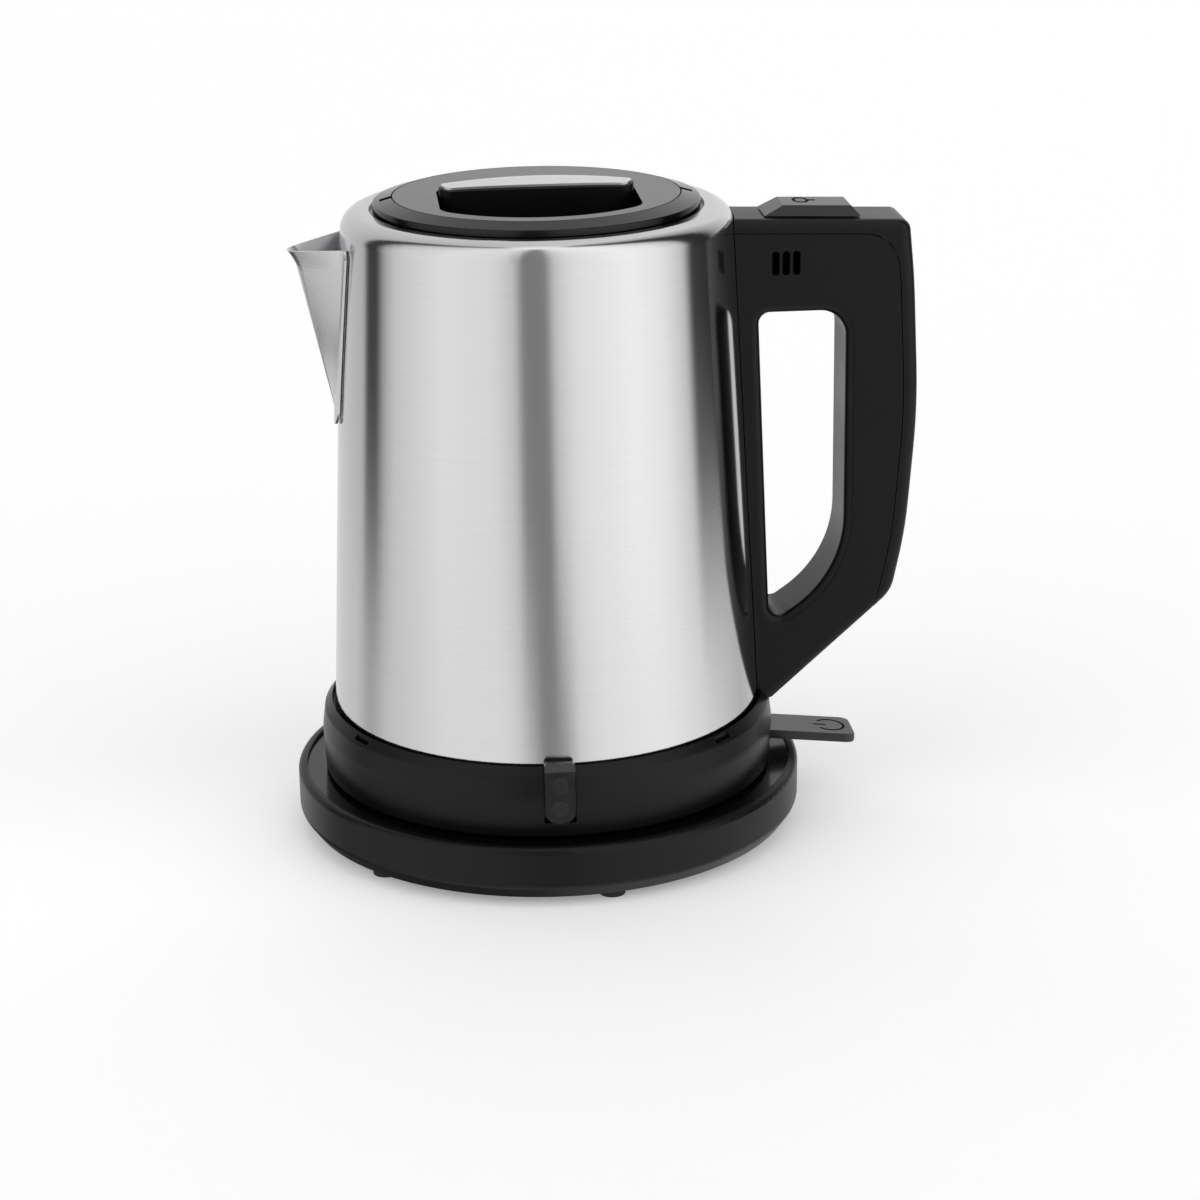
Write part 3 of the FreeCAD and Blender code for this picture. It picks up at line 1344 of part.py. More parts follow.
def handle():
    """Hollow core, its cover strip, and the studs that hold them to the jug."""
    blank = handle_blank()
    low, high = duct_ends()
    groove_end = S.fit_gap * 3 + S.duct_thickness
    groove = duct_sheet("duct_groove", -S.steel_wall, groove_end, S.duct_half_width + S.fit_gap, low,
                        high + S.cut_margin)
    steam_way = rod("steam_way", S.steam_hole_radius, MOUTH_RADIUS, S.vent_x, 0,
                    handle_drop(S.steam_hole_drop), "X")
    bolt_way = block("bolt_way", (MOUTH_RADIUS, S.vent_x),
                     (-S.bolt_half_width - S.lock_clearance, S.bolt_half_width + S.lock_clearance),
                     (bolt_low() - S.lock_clearance, bolt_low() + S.bolt_thickness + S.lock_clearance))
    studs, holes = [], []
    for i, height in enumerate(stud_heights()):
        start = steel_radius_at(height) + S.fit_gap
        offset = S.duct_half_width + S.stud_radius + S.fit_gap * 3
        studs.append(rod(f"stud{i}", S.stud_radius, start + S.fit_gap, start + S.stud_length,
                         offset, height, "X"))
        holes.append(rod(f"stud_hole{i}", S.stud_radius + S.fit_gap, MOUTH_RADIUS,
                         start + S.stud_length + S.fit_gap, offset, height, "X"))
    jug = jug_clearance()
    tools = [cover_region("core_seam", S.seam_gap), jug, handle_cavity(), groove, steam_way, bolt_way,
             vent_slots()]
    node("handle_core", cut("core", blank, tools + holes))
    strip = cut("cover_strip", common("cover_blank", [blank, cover_region("cover_seam", 0)]),
                [jug, stem_slot()])
    node("handle_cover", strip)
    node("handle_studs", group("studs", studs))


def bolt_low():
    return handle_drop(S.bolt_drop) - S.bolt_thickness


def stem_slot():
    """Slot in the cover for the stem between the thumb slide and the bolt."""
    room = S.lock_clearance
    start = S.stem_start_x - S.slide_travel - room
    return block("stem_slot", (start, S.stem_start_x + S.stem_length + room),
                 (-S.stem_half_width - room, S.stem_half_width + room),
                 (HANDLE_Z - S.cover_depth * 2, HANDLE_Z + S.cut_margin))


def thumb_slide():
    """Bevelled thumb slide on the handle, with its stem and the bolt that holds the lid shut."""
    start, end = S.slide_start_x, S.slide_end_x
    front, back = start + S.slide_front_bevel, end - S.slide_back_bevel

    def low_at(x):
        return handle_top_at(x) + S.slide_gap

    side = side_prism("slide_side", [
        (start, low_at(start)), (end, low_at(end)),
        (back, low_at(back) + S.slide_height, S.slide_round),
        (front, low_at(front) + S.slide_height, S.slide_round),
    ], S.slide_half_width)
    half, top_half = S.slide_half_width, S.slide_top_half_width
    foot, head = low_at(end), low_at(start) + S.slide_height
    section = prism("slide_section", "YZ_Plane", [[
        (-half, foot), (half, foot), (top_half, head), (-top_half, head),
    ]], S.handle_top_x)
    saddle = common("slide_saddle", [side, section])
    stem_x = (S.stem_start_x, S.stem_start_x + S.stem_length)
    bolt_top = bolt_low() + S.bolt_thickness
    stem = block("slide_stem", stem_x, (-S.stem_half_width, S.stem_half_width),
                 (bolt_top, low_at(S.stem_start_x) + S.slide_height / 2))
    node("thumb_slide", fuse("slide", [saddle, stem]))
    node("lock_bolt", block("bolt", (SKIRT_RADIUS + S.bolt_rest_gap, stem_x[1]),
                            (-S.bolt_half_width, S.bolt_half_width), (bolt_low(), bolt_top)))


def lever_pivot_z():
    return FLOOR_OF_COLLAR_Z + S.lever_pivot_lift


def power_lever():
    """Paddle on a hub, with an inner arm that works the switch."""
    pivot_x, pivot_z = S.lever_pivot_x, lever_pivot_z()
    root_z, tip_z = pivot_z + S.lever_root_rise, pivot_z - S.lever_tip_fall
    side = side_prism("paddle_side", [
        (pivot_x, root_z - S.lever_thickness),
        (S.lever_tip_x, tip_z - S.lever_thickness, S.lever_edge),
        (S.lever_tip_x, tip_z, S.lever_edge),
        (pivot_x, root_z),
    ], S.lever_half_width)
    half = S.lever_half_width
    plan = prism("paddle_plan", "XY_Plane", [[
        (pivot_x, -half), (S.lever_tip_x, -half, S.lever_corner),
        (S.lever_tip_x, half, S.lever_corner), (pivot_x, half),
    ]], RIM_Z * 3)
    paddle = common("paddle", [side, plan])
    hub = rod("lever_hub", S.lever_hub_radius, -half, half, pivot_x, pivot_z, "Y")
    arm = block("lever_arm", (pivot_x - S.arm_length, pivot_x), (-S.arm_half_width, S.arm_half_width),
                (pivot_z - S.arm_thickness / 2, pivot_z + S.arm_thickness / 2))
    bore = rod("lever_bore", S.lever_pin_radius + S.pin_clearance, -half * 2, half * 2, pivot_x, pivot_z,
               "Y")
    node("power_lever", cut("lever", fuse("lever_blank", [paddle, hub, arm]), [bore]))
    end = half + S.lever_side_gap + S.ear_thickness
    node("lever_pin", rod("pivot_pin", S.lever_pin_radius, -end, end, pivot_x, pivot_z, "Y"))


def switch():
    """Switch housing on the underside and the contact carrier that rides on the lever's arm."""
    arm_end = S.lever_pivot_x - S.arm_length
    low_x = arm_end - S.switch_wall - S.carrier_gap * 4
    half = S.switch_half_width
    top = FLOOR_OF_COLLAR_Z + S.switch_height
    shell = block("switch_shell", (low_x, low_x + S.switch_length), (-half, half), (FLOOR_OF_COLLAR_Z, top))
    room = block("switch_room", (low_x + S.switch_wall, S.lever_pivot_x),
                 (S.switch_wall - half, half - S.switch_wall),
                 (FLOOR_OF_COLLAR_Z - S.cut_margin, top - S.switch_wall))
    node("switch_housing", cut("switch_box", shell, [room]))
    arm_top = lever_pivot_z() + S.arm_thickness / 2
    gap = S.carrier_gap
    low_y, high_y = S.switch_wall + gap - half, half - S.switch_wall - gap
    slab = block("carrier_slab", (low_x + S.switch_wall + gap, low_x + S.switch_length - gap),
                 (low_y, high_y), (arm_top + gap + S.carrier_rib, arm_top + gap + S.carrier_height))
    rib_x = arm_end + S.carrier_gap * 4
    rib = block("carrier_rib", (rib_x - S.carrier_rib, rib_x + S.carrier_rib), (low_y, high_y),
                (arm_top + gap, arm_top + gap + S.carrier_height))
    node("contact_carrier", fuse("carrier", [slab, rib]))


def check_objects():
    """Stop if any object failed or any piece is empty or invalid."""
    doc.recompute()
    for thing in doc.Objects:
        if "Invalid" in thing.State or "Error" in thing.State:
            raise RuntimeError(f"{thing.Name} failed: {thing.State}")
    for piece in NODES:
        if piece.Shape.isNull() or not piece.Shape.isValid():
            raise RuntimeError(f"{piece.Label} has no valid shape")


def main():
    for make in (base_shell, base_plate, base_cover, base_feet, base_screws, base_connector, base_contacts,
                 cord_grommet, base_wiring, connector_shutter, kettle_underside, kettle_collar,
                 underside_screws, indicator_tab, steel_body, spout, jug_floor, control_unit, steam_bimetal,
                 lid_collar, lid_plate, lid_grip, lid_plug, lid_seal, lid_screws, handle, steam_tube,
                 thumb_slide, power_lever, switch):
        make()
    check_objects()
    os.makedirs("parts", exist_ok=True)
    for piece in NODES:
        piece.Shape.exportStep(f"parts/{piece.Label}.step")
        print(piece.Label, len(piece.Shape.Solids), round(piece.Shape.Volume, 1))


main()
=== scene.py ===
# %% [markdown]
# # An electric kettle on its power base
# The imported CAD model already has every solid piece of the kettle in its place: base, jug, spout,
# lid, handle, lever and the works inside. This lesson leaves those solids where they are. It adds
# what a solid model can't hold: a camera, the light of a small photo studio, real finishes, and two
# printed markings that are too thin for a CAD model.

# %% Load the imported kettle
import json
import math

import bmesh
import bpy
from mathutils import Matrix, Vector


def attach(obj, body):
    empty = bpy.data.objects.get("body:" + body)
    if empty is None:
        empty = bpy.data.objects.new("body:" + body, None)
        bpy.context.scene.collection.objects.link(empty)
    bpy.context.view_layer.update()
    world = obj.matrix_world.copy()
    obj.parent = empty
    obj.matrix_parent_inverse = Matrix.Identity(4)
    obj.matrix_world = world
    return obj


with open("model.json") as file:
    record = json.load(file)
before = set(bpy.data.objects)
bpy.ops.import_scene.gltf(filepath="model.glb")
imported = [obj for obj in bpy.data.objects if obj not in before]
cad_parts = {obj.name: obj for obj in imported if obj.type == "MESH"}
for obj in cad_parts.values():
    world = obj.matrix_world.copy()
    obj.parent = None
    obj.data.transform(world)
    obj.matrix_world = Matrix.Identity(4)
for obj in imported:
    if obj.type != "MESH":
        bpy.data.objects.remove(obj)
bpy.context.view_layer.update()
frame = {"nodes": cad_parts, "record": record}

nodes = frame["nodes"]

# %% [markdown]
# ## The camera
# The kettle was photographed from a little above the lid, with a long lens about 90 cm away. A
# camera can be aimed with a tracking constraint, but three plain turns are easier to read: down by
# the pitch, sideways by the heading, and a slight roll, because the real camera wasn't quite level.

# %% Place the camera
CAMERA_PLACE = (-0.0620, -0.8868, 0.3710)
PITCH_DOWN = 18.70
HEADING = 5.125
ROLL = -0.86
LENS_MM = 88.65
SENSOR_MM = 36.0

camera_data = bpy.data.cameras.new("studio_camera")
camera_data.sensor_width = SENSOR_MM
camera_data.lens = LENS_MM
camera = bpy.data.objects.new("studio_camera", camera_data)
bpy.context.scene.collection.objects.link(camera)
aim = Matrix.Rotation(math.radians(-HEADING), 4, "Z")
tilt = Matrix.Rotation(math.radians(90 - PITCH_DOWN), 4, "X")
roll = Matrix.Rotation(math.radians(ROLL), 4, "Z")
camera.matrix_world = Matrix.Translation(CAMERA_PLACE) @ aim @ tilt @ roll
bpy.context.scene.camera = camera
bpy.context.scene.view_settings.view_transform = "Standard"
print("camera at", CAMERA_PLACE, "with a lens of", LENS_MM, "mm")

# %% [markdown]
# ## One helper for nodes, one for colour
# Materials and the studio light are both node trees. Each node is added by one small function that
# sets its settings and fills or links its inputs, so a tree reads from top to bottom like a recipe.
# Colours are written as the hex codes of a paint chart. Blender mixes light in linear values, so
# one more function turns a code into those, by the curve of the sRGB standard.

# %% Node and colour helpers
# a Mix node keeps its colour sockets under these numbers
MIX_SHARE, MIX_FROM, MIX_TO, MIXED = 0, 6, 7, 2


def add(tree, kind, inputs=None, **settings):
    """Add one node. An input takes a value, or another node's output to link to."""
    made = tree.nodes.new(kind)
    for name, value in settings.items():
        setattr(made, name, value)
    for name, value in (inputs or {}).items():
        if isinstance(value, bpy.types.NodeSocket):
            tree.links.new(value, made.inputs[name])
        else:
            made.inputs[name].default_value = value
    return made


def linear(code):
    """Linear colour of an sRGB hex code such as "#1b1b1c"."""
    channels = [int(code[i:i + 2], 16) / 255 for i in (1, 3, 5)]
    return [c / 12.92 if c <= 0.04045 else ((c + 0.055) / 1.055) ** 2.4 for c in channels] + [1.0]


print("the middle grey #808080 gives back", round(linear("#808080")[0], 3), "of the light")

# %% [markdown]
# ## The light of the studio
# Polished steel shows the room around it. The real jug stood on a white table between two tall
# white diffusers. The gap behind the camera is the grey stripe down its middle, and a black card on
# each side is a dark band near its edge. Low on the jug the steel shows the table instead, so the
# cards fade there. Such a room can be built from area lamps and cards. Painting it on the world is
# simpler and gives no noise. It has four layers, from the bottom up: the shaded table close to the
# jug, the open table, the walls, and a lamp straight above. All but the lamp are stops of compass
# direction and brightness. Directions are counted from the front (-Y), positive to the handle.

# %% Write down the light
NEAR_LIGHT = [
    (-180, 0.12), (-118, 0.10), (-94, 0.60), (-70, 1.00), (60, 1.05), (130, 0.80), (180, 0.12),
]
TABLE_LIGHT = [
    (-180, 0.80), (-130, 0.78), (-114, 0.58), (-100, 0.80), (-60, 1.04), (-25, 1.08), (-12, 0.85),
    (-6, 0.34), (6, 0.30), (13, 0.85), (25, 1.08), (60, 1.22), (95, 1.05), (125, 0.64), (180, 0.80),
]
WALL_LIGHT = [
    (-180, 0.80), (-145, 0.74), (-123, 0.64), (-119, 0.06), (-109, 0.04), (-103, 0.50), (-94, 0.84),
    (-60, 1.14), (-30, 1.06), (-18, 0.80), (-13, 0.26), (0, 0.30), (5, 0.85), (16, 1.14),
    (50, 1.36), (70, 1.22), (87, 0.80), (94, 0.04), (112, 0.03), (124, 0.50), (150, 0.92),
    (180, 0.80),
]
CEILING_LIGHT = 1.30
BRIGHTEST = 1.40
# a layer blends into the next one between two angles above the horizon
NEAR_TO_TABLE = (-28, -22)
TABLE_TO_WALL = (-17, -12)
WALL_TO_CEILING = (78, 88)
print("stops of light:", len(WALL_LIGHT), "for the walls,", len(TABLE_LIGHT), "for the table")

# %% [markdown]
# ### From numbers to light
# The world's background is a node tree that turns a direction into a brightness. A colour ramp
# holds the stops of one layer, with the whole turn of the compass as its length. A second blend
# follows the height of the direction and lays the layers on top of each other. The ramps keep
# shares of the brightest light, and the background's strength brings back the full brightness.

# %% Paint the studio on the world
def shade_of(brightness):
    """Grey for a brightness, as a share of the brightest light."""
    return [brightness / BRIGHTEST] * 3 + [1.0]


def light_ramp(tree, share, light):
    """Light by compass direction, from stops of degrees and brightness."""
    ramp = add(tree, "ShaderNodeValToRGB", {"Fac": share})
    stops = ramp.color_ramp.elements
    stops.remove(stops[1])
    for degrees, brightness in light:
        position = (degrees + 180) / 360
        stop = stops.new(position) if position else stops[0]
        stop.color = shade_of(brightness)
    return ramp.outputs["Color"]


def climb(tree, rise, angles):
    """Blend from 0 at one angle above the horizon to 1 at another."""
    low, high = [math.sin(math.radians(angle)) for angle in angles]
    return add(tree, "ShaderNodeMapRange", {"Value": rise, "From Min": low, "From Max": high},
               interpolation_type="SMOOTHSTEP").outputs[0]


world = bpy.data.worlds.new("white_studio")
bpy.context.scene.world = world
world.use_nodes = True
sky = world.node_tree
sky.nodes.clear()
towards = add(sky, "ShaderNodeTexCoord")
parts = add(sky, "ShaderNodeSeparateXYZ", {"Vector": towards.outputs["Generated"]})
front = add(sky, "ShaderNodeMath", {0: parts.outputs["Y"], 1: -1.0}, operation="MULTIPLY")
bearing = add(sky, "ShaderNodeMath", {0: parts.outputs["X"], 1: front.outputs[0]},
              operation="ARCTAN2")
share = add(sky, "ShaderNodeMapRange", {"Value": bearing.outputs[0], "From Min": -math.pi,
                                        "From Max": math.pi}).outputs[0]
light = light_ramp(sky, share, NEAR_LIGHT)
for angles, layer in ((NEAR_TO_TABLE, light_ramp(sky, share, TABLE_LIGHT)),
                      (TABLE_TO_WALL, light_ramp(sky, share, WALL_LIGHT)),
                      (WALL_TO_CEILING, shade_of(CEILING_LIGHT))):
    light = add(sky, "ShaderNodeMix", {MIX_SHARE: climb(sky, parts.outputs["Z"], angles),
                                       MIX_FROM: light, MIX_TO: layer},
                data_type="RGBA").outputs[MIXED]
shine = add(sky, "ShaderNodeBackground", {"Color": light, "Strength": BRIGHTEST})
add(sky, "ShaderNodeOutputWorld", {"Surface": shine.outputs[0]})
print("nodes that make the studio's light:", len(sky.nodes))

# %% [markdown]
# ## Patterns in millimetres
# No real surface is one flat colour. Most finishes here use the same two patterns: a slow drift
# over some centimetres, which changes colour and gloss a little, and a fine grain that lifts the
# surface. Image textures could hold them, but a noise pattern read from the piece's own place in
# space needs no unwrapping, has no seams, and takes its size straight from millimetres.

# %% Start a material, grain it and lay its surface
# nearly all of a noise pattern lies between these two values
NOISE_LOW, NOISE_HIGH = 0.3, 0.7


def new_finish(name):
    """A new material, its node tree and its shader."""
    finish = bpy.data.materials.new(name)
    finish.use_nodes = True
    tree = finish.node_tree
    tree.nodes.clear()
    shader = add(tree, "ShaderNodeBsdfPrincipled")
    add(tree, "ShaderNodeOutputMaterial", {"Surface": shader.outputs[0]})
    return finish, tree, shader


def grain(tree, millimetres, detail=2.0):
    """Noise from 0 to 1 whose grains measure so many millimetres along X, Y and Z."""
    place = add(tree, "ShaderNodeTexCoord")
    scaled = add(tree, "ShaderNodeVectorMath", {0: place.outputs["Object"],
                                                1: [1000 / size for size in millimetres]},
                 operation="MULTIPLY")
    noise = add(tree, "ShaderNodeTexNoise", {"Vector": scaled.outputs[0], "Scale": 1.0,
                                             "Detail": detail})
    return noise.outputs[0]


def lay_surface(tree, shader, colours, roughness, tint, drift, relief, depth_mm, strength=1.0):
    """Mix two colours by a tint, set the gloss by a drift and lift the surface by a relief."""
    mixed = add(tree, "ShaderNodeMix", {MIX_SHARE: tint, MIX_FROM: linear(colours[0]),
                                        MIX_TO: linear(colours[1])}, data_type="RGBA")
    rough = add(tree, "ShaderNodeMapRange", {"Value": drift, "From Min": NOISE_LOW,
                                             "From Max": NOISE_HIGH, "To Min": roughness[0],
                                             "To Max": roughness[1]})
    lift = add(tree, "ShaderNodeBump", {"Height": relief, "Strength": strength,
                                        "Distance": depth_mm / 1000})
    tree.links.new(mixed.outputs[MIXED], shader.inputs["Base Color"])
    tree.links.new(rough.outputs[0], shader.inputs["Roughness"])
    tree.links.new(lift.outputs[0], shader.inputs["Normal"])


print("noise from", NOISE_LOW, "to", NOISE_HIGH, "spans the whole range of a finish's gloss")

# %% [markdown]
# ## Studio paper
# Product photographs are taken on a roll of matte white paper. Its fibres are too fine to show, so
# they are drawn as a faint cloudiness of 6 mm. Lamps of its own make the real paper as white as in
# the photograph. They could be built, but a little glow in the material does the same.

# %% Make the paper
FIBRE_MM = 6
PAPER_ROUGHNESS = 0.6
PAPER_GLOW = 0.26

# white without gloss, so the floor shows only soft shadows
paper, tree, shader = new_finish("paper_white_matte")
mixed = add(tree, "ShaderNodeMix", {MIX_SHARE: grain(tree, [FIBRE_MM] * 3),
                                    MIX_FROM: linear("#f3f3f3"), MIX_TO: linear("#f7f7f7")},
            data_type="RGBA")
tree.links.new(mixed.outputs[MIXED], shader.inputs["Base Color"])
shader.inputs["Roughness"].default_value = PAPER_ROUGHNESS
shader.inputs["Emission Color"].default_value = linear("#ffffff")
shader.inputs["Emission Strength"].default_value = PAPER_GLOW
print("paper with a cloudiness of", FIBRE_MM, "mm")

# %% [markdown]
# ### Paper floor and paper wall
# The real paper curves up behind the object. A flat sheet does for this camera, which looks down on
# it. A round paper wall, far away, keeps the background white for a lower camera on any side.
# Neither shows in mirror reflections: the real paper was lit so that the jug shows the diffusers.
# The wall takes no part in the lighting, so the studio's light passes it.

# %% Lay the floor and set up the wall
FLOOR_HALF = 20.0
FLOOR_CELLS = 8
WALL_RADIUS = 15.0
WALL_HEIGHT = 10.0
WALL_SIDES = 96


def make_object(shape, name, finish):
    """Turn a shape into an object with one finish."""
    mesh = bpy.data.meshes.new(name)
    shape.to_mesh(mesh)
    shape.free()
    mesh.materials.append(finish)
    made = bpy.data.objects.new(name, mesh)
    bpy.context.scene.collection.objects.link(made)
    return made


def hang_paper(shape, name):
    """Turn a shape into studio paper that mirrors don't show."""
    sheet = make_object(shape, name, paper)
    sheet.visible_glossy = False
    return sheet


flat = bmesh.new()
bmesh.ops.create_grid(flat, x_segments=FLOOR_CELLS, y_segments=FLOOR_CELLS, size=FLOOR_HALF)
hang_paper(flat, "paper_floor")
round_wall = bmesh.new()
bmesh.ops.create_cone(round_wall, segments=WALL_SIDES, radius1=WALL_RADIUS, radius2=WALL_RADIUS,
                      depth=2 * WALL_HEIGHT)
wall = hang_paper(round_wall, "paper_wall")
wall.visible_diffuse = False
wall.visible_transmission = False
wall.visible_shadow = False
print("paper floor of", 2 * FLOOR_HALF, "m and a round wall of", 2 * WALL_RADIUS, "m")

# %% [markdown]
# ## Brushed metals
# The jug is rolled from stainless sheet that was brushed along its length, so the scratches run
# round the jug. Scratches spread a reflection across themselves: the studio's bands stay sharp from
# left to right and melt from top to bottom. Blender's metal does this with anisotropy, turned a
# quarter because the blur has to stand upright. Real scratches are about 0.05 mm wide, too fine to
# show, so they are drawn at 0.4 to 0.5 mm and kept faint.

# %% Steel for the jug and the spout, aluminium for the grip's inlay
SCRATCH_DETAIL = 3.0
SCRATCH_DEPTH_MM = 0.02
SCRATCH_STRENGTH = 0.12
STEEL_DRIFT_MM = 45
QUARTER_TURN = 0.25


def brushed(name, colours, roughness, scratch_mm, anisotropy=0.0):
    """Brushed metal whose scratches measure so many millimetres along X, Y and Z."""
    finish, tree, shader = new_finish(name)
    scratch = grain(tree, scratch_mm, SCRATCH_DETAIL)
    lay_surface(tree, shader, colours, roughness, tint=scratch,
                drift=grain(tree, [STEEL_DRIFT_MM] * 3), relief=scratch,
                depth_mm=SCRATCH_DEPTH_MM, strength=SCRATCH_STRENGTH)
    shader.inputs["Metallic"].default_value = 1.0
    if anisotropy:
        along = add(tree, "ShaderNodeTangent", direction_type="RADIAL", axis="Z")
        tree.links.new(along.outputs[0], shader.inputs["Tangent"])
        shader.inputs["Anisotropic"].default_value = anisotropy
        shader.inputs["Anisotropic Rotation"].default_value = QUARTER_TURN
    return finish


finishes = {}
# bright bands with sharp edges across the jug, softened upwards
finishes["brushed_steel"] = brushed("stainless_steel_brushed_round", ("#cdcdce", "#d3d3d4"),
                                    (0.13, 0.15), scratch_mm=(25, 25, 0.5), anisotropy=0.55)
# the same sheet, folded: softer, with upright scratches
spout_steel = brushed("stainless_steel_brushed_upright", ("#cbcbcd", "#d4d4d5"),
                      (0.20, 0.25), scratch_mm=(0.5, 0.5, 25))
# pale satin strip with lengthwise scratches
finishes["silver_inlay"] = brushed("aluminium_satin_anodised", ("#e0e0e2", "#eaeaeb"),
                                   (0.26, 0.34), scratch_mm=(20, 0.4, 20))
brushed_names = list(finishes)
print("brushed metals:", brushed_names, "and the spout's own")

# %% [markdown]
# ## Moulded plastics
# The base, collar and handle are black plastic with the fine spark texture of their mould, which
# breaks up reflections. The ring round the lid, the lid and the plate of the base come from
# polished moulds and mirror the ceiling. One recipe makes both: two near colours, a range of gloss,
# and a grain whose width and height come from the mould. A spark texture is about 0.1 mm wide, too
# fine to show, and is drawn at 0.4 mm.

# %% Plastics seen from outside
DRIFT_MM = 30


def moulded(name, colours, roughness, texture_mm, depth_mm, **sockets):
    """Moulded plastic or rubber: a slow drift of colour and gloss, and its mould's texture."""
    finish, tree, shader = new_finish(name)
    drift = grain(tree, [DRIFT_MM] * 3)
    lay_surface(tree, shader, colours, roughness, tint=drift, drift=drift,
                relief=grain(tree, [texture_mm] * 3), depth_mm=depth_mm)
    for socket, value in sockets.items():
        shader.inputs[socket.replace("_", " ")].default_value = value
    return finish


# matte black: wide, dim highlights that hold no picture of the room
finishes["matte_black_plastic"] = moulded("polypropylene_black_spark_textured",
                                          ("#0b0b0b", "#0e0e0e"), (0.28, 0.36), texture_mm=0.4,
                                          depth_mm=0.005, Specular_IOR_Level=0.2)
# deep black that mirrors the ceiling, a little wavy from the mould
finishes["gloss_black_plastic"] = moulded("abs_black_polished", ("#060606", "#090909"),
                                          (0.12, 0.18), texture_mm=6, depth_mm=0.004,
                                          Specular_IOR_Level=0.3)
# charcoal with a silky top
finishes["grey_plastic"] = moulded("abs_charcoal_satin", ("#171718", "#1c1c1d"), (0.24, 0.30),
                                   texture_mm=0.5, depth_mm=0.003, Specular_IOR_Level=0.55)
# dark window that lets the lamp caps show through
finishes["smoked_lens"] = moulded("polycarbonate_smoked_polished", ("#646466", "#69696b"),
                                  (0.05, 0.09), texture_mm=5, depth_mm=0.002,
                                  Transmission_Weight=1.0, IOR=1.58, Specular_IOR_Level=0.3)
# milky caps
finishes["lamp_cap"] = moulded("polycarbonate_frosted", ("#ecece7", "#f4f4f0"), (0.35, 0.45),
                               texture_mm=0.5, depth_mm=0.004)
print("plastics outside:", [name for name in finishes if name not in brushed_names])

# %% [markdown]
# ## Rubber, silicone and the plastics of the works
# Feet, seals, housings and leads are moulded or coated too, so the same recipe serves, with other
# colours and a coarser or finer grain. Few of them show: the feet as a dark line under the base,
# the rest when the kettle or its lid is lifted off, or in a model that is taken apart.

# %% Soft and hidden plastics
outside_names = list(finishes)
# dull and dark
finishes["black_rubber"] = moulded("rubber_black_matte", ("#121212", "#181818"), (0.70, 0.80),
                                   texture_mm=0.6, depth_mm=0.012)
# cloudy and soft
finishes["clear_silicone"] = moulded("silicone_translucent", ("#c9ccca", "#d3d5d3"), (0.30, 0.40),
                                     texture_mm=1.0, depth_mm=0.004, Transmission_Weight=0.5,
                                     IOR=1.41)
# glass-filled and slightly speckled
finishes["control_plastic"] = moulded("nylon_glass_filled_black", ("#1b1b1c", "#232324"),
                                      (0.42, 0.52), texture_mm=0.8, depth_mm=0.006)
# clean white
finishes["white_plastic"] = moulded("polyester_white_moulded", ("#dcdcd6", "#e4e4df"),
                                    (0.34, 0.42), texture_mm=0.8, depth_mm=0.004)
# soft skin of a cable
finishes["wire_insulation"] = moulded("pvc_insulation_soft", ("#7a4a26", "#845230"), (0.40, 0.48),
                                      texture_mm=1.5, depth_mm=0.004)
# lacquer over glass cloth with a 0.5 mm weave
finishes["circuit_board"] = moulded("glass_epoxy_green_lacquered", ("#1d4a2e", "#235636"),
                                    (0.22, 0.30), texture_mm=0.5, depth_mm=0.006)
print("soft and hidden:", [name for name in finishes if name not in outside_names])

# %% [markdown]
# ## Small metals inside
# Of these metals, only contacts and screws show, and only when the kettle is lifted off its base.
# Each one still gets its own colour and marks: turned brass for the contacts, cast aluminium under
# the floor, the brown tint of a heated sheath, and the cool grey of zinc plating on the screws.

# %% Metals of the works
plastic_names = list(finishes)


def worked_metal(name, colours, roughness, mark_mm, depth_mm):
    """Bare metal with the marks that its making left."""
    return moulded(name, colours, roughness, mark_mm, depth_mm, Metallic=1.0)


# warm yellow with fine turning marks
finishes["brass"] = worked_metal("brass_turned", ("#b58f4a", "#c79f58"), (0.22, 0.32),
                                 mark_mm=0.4, depth_mm=0.003)
# pale and grainy from the die
finishes["aluminium"] = worked_metal("aluminium_die_cast", ("#b9babc", "#c6c7c9"), (0.38, 0.48),
                                     mark_mm=1.2, depth_mm=0.010)
# straw to brown heat tint
finishes["element_steel"] = worked_metal("steel_sheath_heat_tinted", ("#6f675c", "#8a8071"),
                                         (0.34, 0.46), mark_mm=2, depth_mm=0.006)
# rolled two-metal sheet
finishes["bimetal"] = worked_metal("bimetal_rolled", ("#a9a196", "#b9b2a8"), (0.26, 0.34),
                                   mark_mm=0.8, depth_mm=0.003)
# cool bright plating
finishes["zinc_steel"] = worked_metal("steel_zinc_plated", ("#b4b8bd", "#c3c7cb"), (0.24, 0.34),
                                      mark_mm=0.8, depth_mm=0.003)
print("metals of the works:", [name for name in finishes if name not in plastic_names])

# %% [markdown]
# ## Dressing the CAD pieces
# The record names a finish for each piece, so a loop can hand them out. The spout is the one
# exception: its sheet was folded the other way, so it gets the upright scratches.

# %% Give each CAD piece its finish
OTHER_FINISH = {"spout": spout_steel}

for part in frame["record"]["subparts"]:
    piece = nodes[part["node"]]
    piece.data.materials.clear()
    piece.data.materials.append(OTHER_FINISH.get(part["node"], finishes[part["material_slot"]]))

# %% [markdown]
# ## Markings
# Two plain markings are printed on the kettle: the usual ring and bar for power on the lever, and a
# small ring with a tail on the lid's thumb slide. A printed line is a thin film of ink. It could be
# painted in the material, but a flat strip of mesh laid a hair above the plastic keeps its edge
# sharp from any side. A ring is a strip too, bent into an arc.

# %% Draw strips of ink
ARC_STEPS = 48
# black without shine, a little darker than the plastic under it
ink = moulded("screen_ink_black_matte", ("#070707", "#0a0a0a"), (0.70, 0.80), texture_mm=0.3,
              depth_mm=0.002, Specular_IOR_Level=0.05)


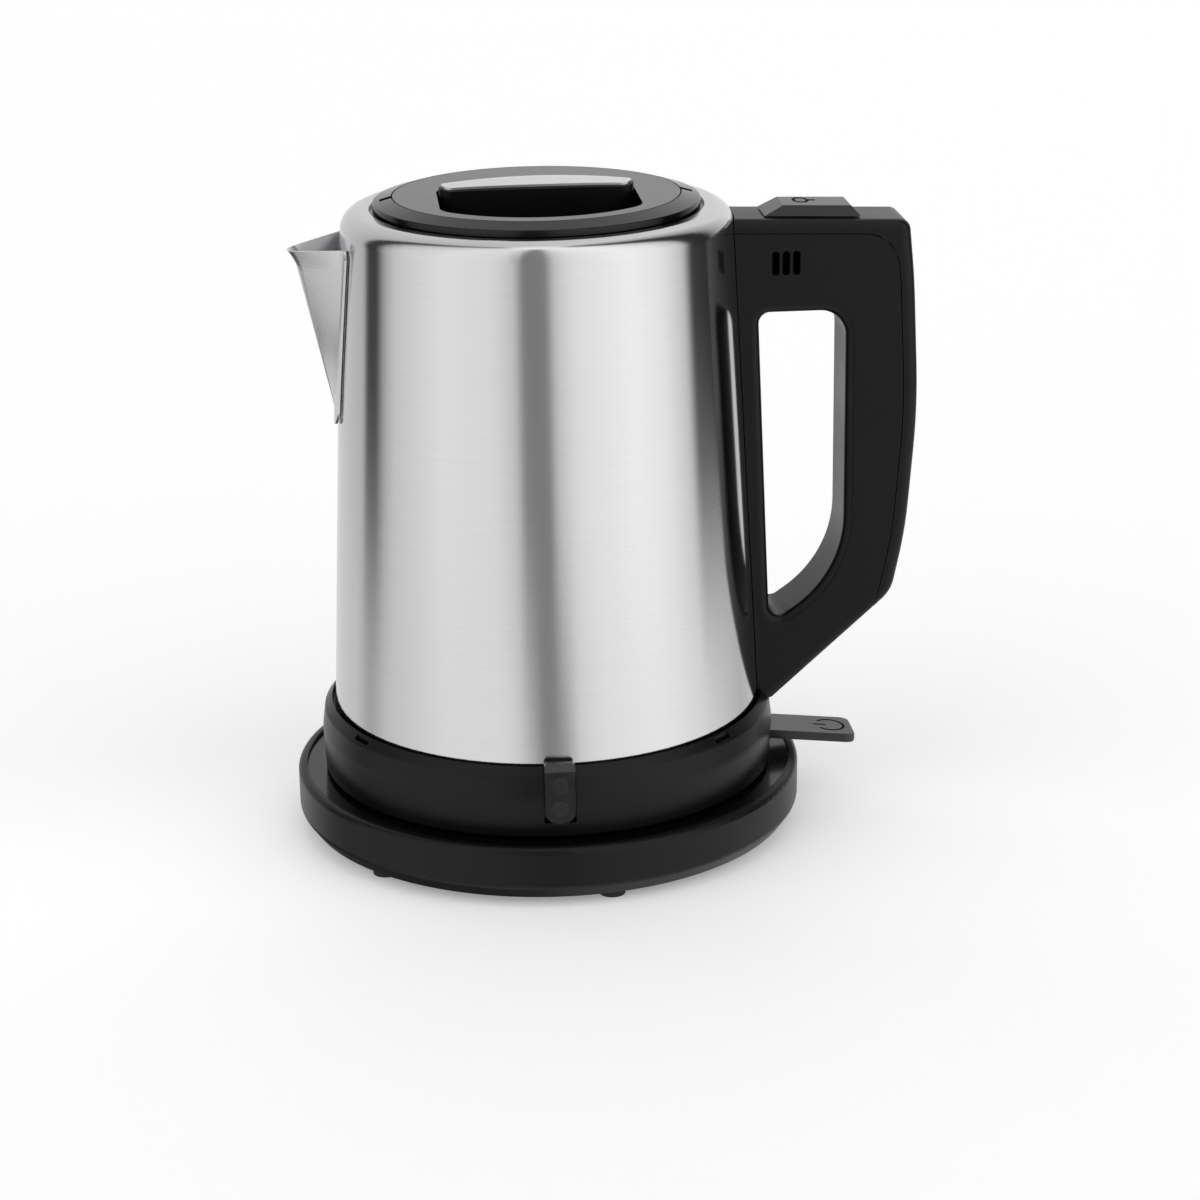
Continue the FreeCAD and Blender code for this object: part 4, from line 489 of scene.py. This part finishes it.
def arc_strip(shape, radius, width, start, end):
    """Add a flat ring segment round the middle, between two angles in degrees."""
    rows = []
    for i in range(ARC_STEPS + 1):
        angle = math.radians(start + (end - start) * i / ARC_STEPS)
        ray = Vector((math.cos(angle), math.sin(angle), 0))
        rows.append([shape.verts.new(ray * (radius + side * width / 2)) for side in (-1, 1)])
    for here, there in zip(rows, rows[1:]):
        shape.faces.new((here[0], here[1], there[1], there[0]))


def bar_strip(shape, start, end, width):
    """Add a flat bar along X, from one distance off the middle to another."""
    corners = ((start, -width / 2), (end, -width / 2), (end, width / 2), (start, width / 2))
    shape.faces.new([shape.verts.new((x, y, 0)) for x, y in corners])


print("a full ring of ink has", ARC_STEPS, "faces")

# %% [markdown]
# ### Ink on a sloping top
# The lever and the slide both fall a little towards the end of the handle. Two points of each top
# give its slope, and the marking is turned by the same angle, so it lies flat on the plastic. Each
# marking rides on the body under it, so it moves with the lever or the slide.

# %% Place a marking
INK_LIFT = 0.00004


def on_slope(high, low, x, y):
    """Placement on a flat top that falls from one point to another along X."""
    slope = math.atan2(high.z - low.z, low.x - high.x)
    z = high.z - math.tan(slope) * (x - high.x) + INK_LIFT
    return Matrix.Translation((x, y, z)) @ Matrix.Rotation(slope, 4, "Y")


def print_marking(shape, name, placement, body):
    """Turn strips of ink into a piece that rides on a body."""
    shape.transform(placement)
    marking = make_object(shape, name, ink)
    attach(marking, body)
    print(name, "has", len(marking.data.polygons), "faces")


print("ink lies", round(1000 * INK_LIFT, 2), "mm above the plastic")

# %% [markdown]
# ### Power on the lever
# The usual sign for power is a ring with a gap and a bar that stands in the gap. The gap faces the
# jug, so the sign reads upright from the end of the handle.

# %% Print the power marking on the lever
LEVER_TOP = Vector((0.0620, 0, 0.0266)), Vector((0.0993, 0, 0.0226))
LEVER_MARK = (0.0918, 0)
LEVER_RING = 0.0046
LEVER_RING_END = 140
LEVER_BAR = (-0.0056, -0.0012)
LEVER_LINE = 0.0008

power = bmesh.new()
arc_strip(power, LEVER_RING, LEVER_LINE, -LEVER_RING_END, LEVER_RING_END)
bar_strip(power, *LEVER_BAR, LEVER_LINE)
print_marking(power, "power_marking", on_slope(*LEVER_TOP, *LEVER_MARK), "lever")

# %% [markdown]
# ### A small sign on the thumb slide
# The slide carries a sign of a few millimetres. A plain ring with a tail stands for it, drawn round
# and then stretched across the slide, which is simpler than drawing an oval.

# %% Print the ring and tail on the thumb slide
SLIDE_TOP = Vector((0.0746, 0, 0.195978)), Vector((0.0955, 0, 0.195286))
SLIDE_MARK = (0.0811, 0.0016)
SLIDE_RING = 0.0021
SLIDE_TAIL = (SLIDE_RING, 0.0046)
SLIDE_LINE = 0.0009
SLIDE_STRETCH = Matrix.Diagonal((1.0, 1.6, 1.0, 1.0))

slide = bmesh.new()
arc_strip(slide, SLIDE_RING, SLIDE_LINE, 0, 360)
bar_strip(slide, *SLIDE_TAIL, SLIDE_LINE)
print_marking(slide, "slide_marking", on_slope(*SLIDE_TOP, *SLIDE_MARK) @ SLIDE_STRETCH, "lock")
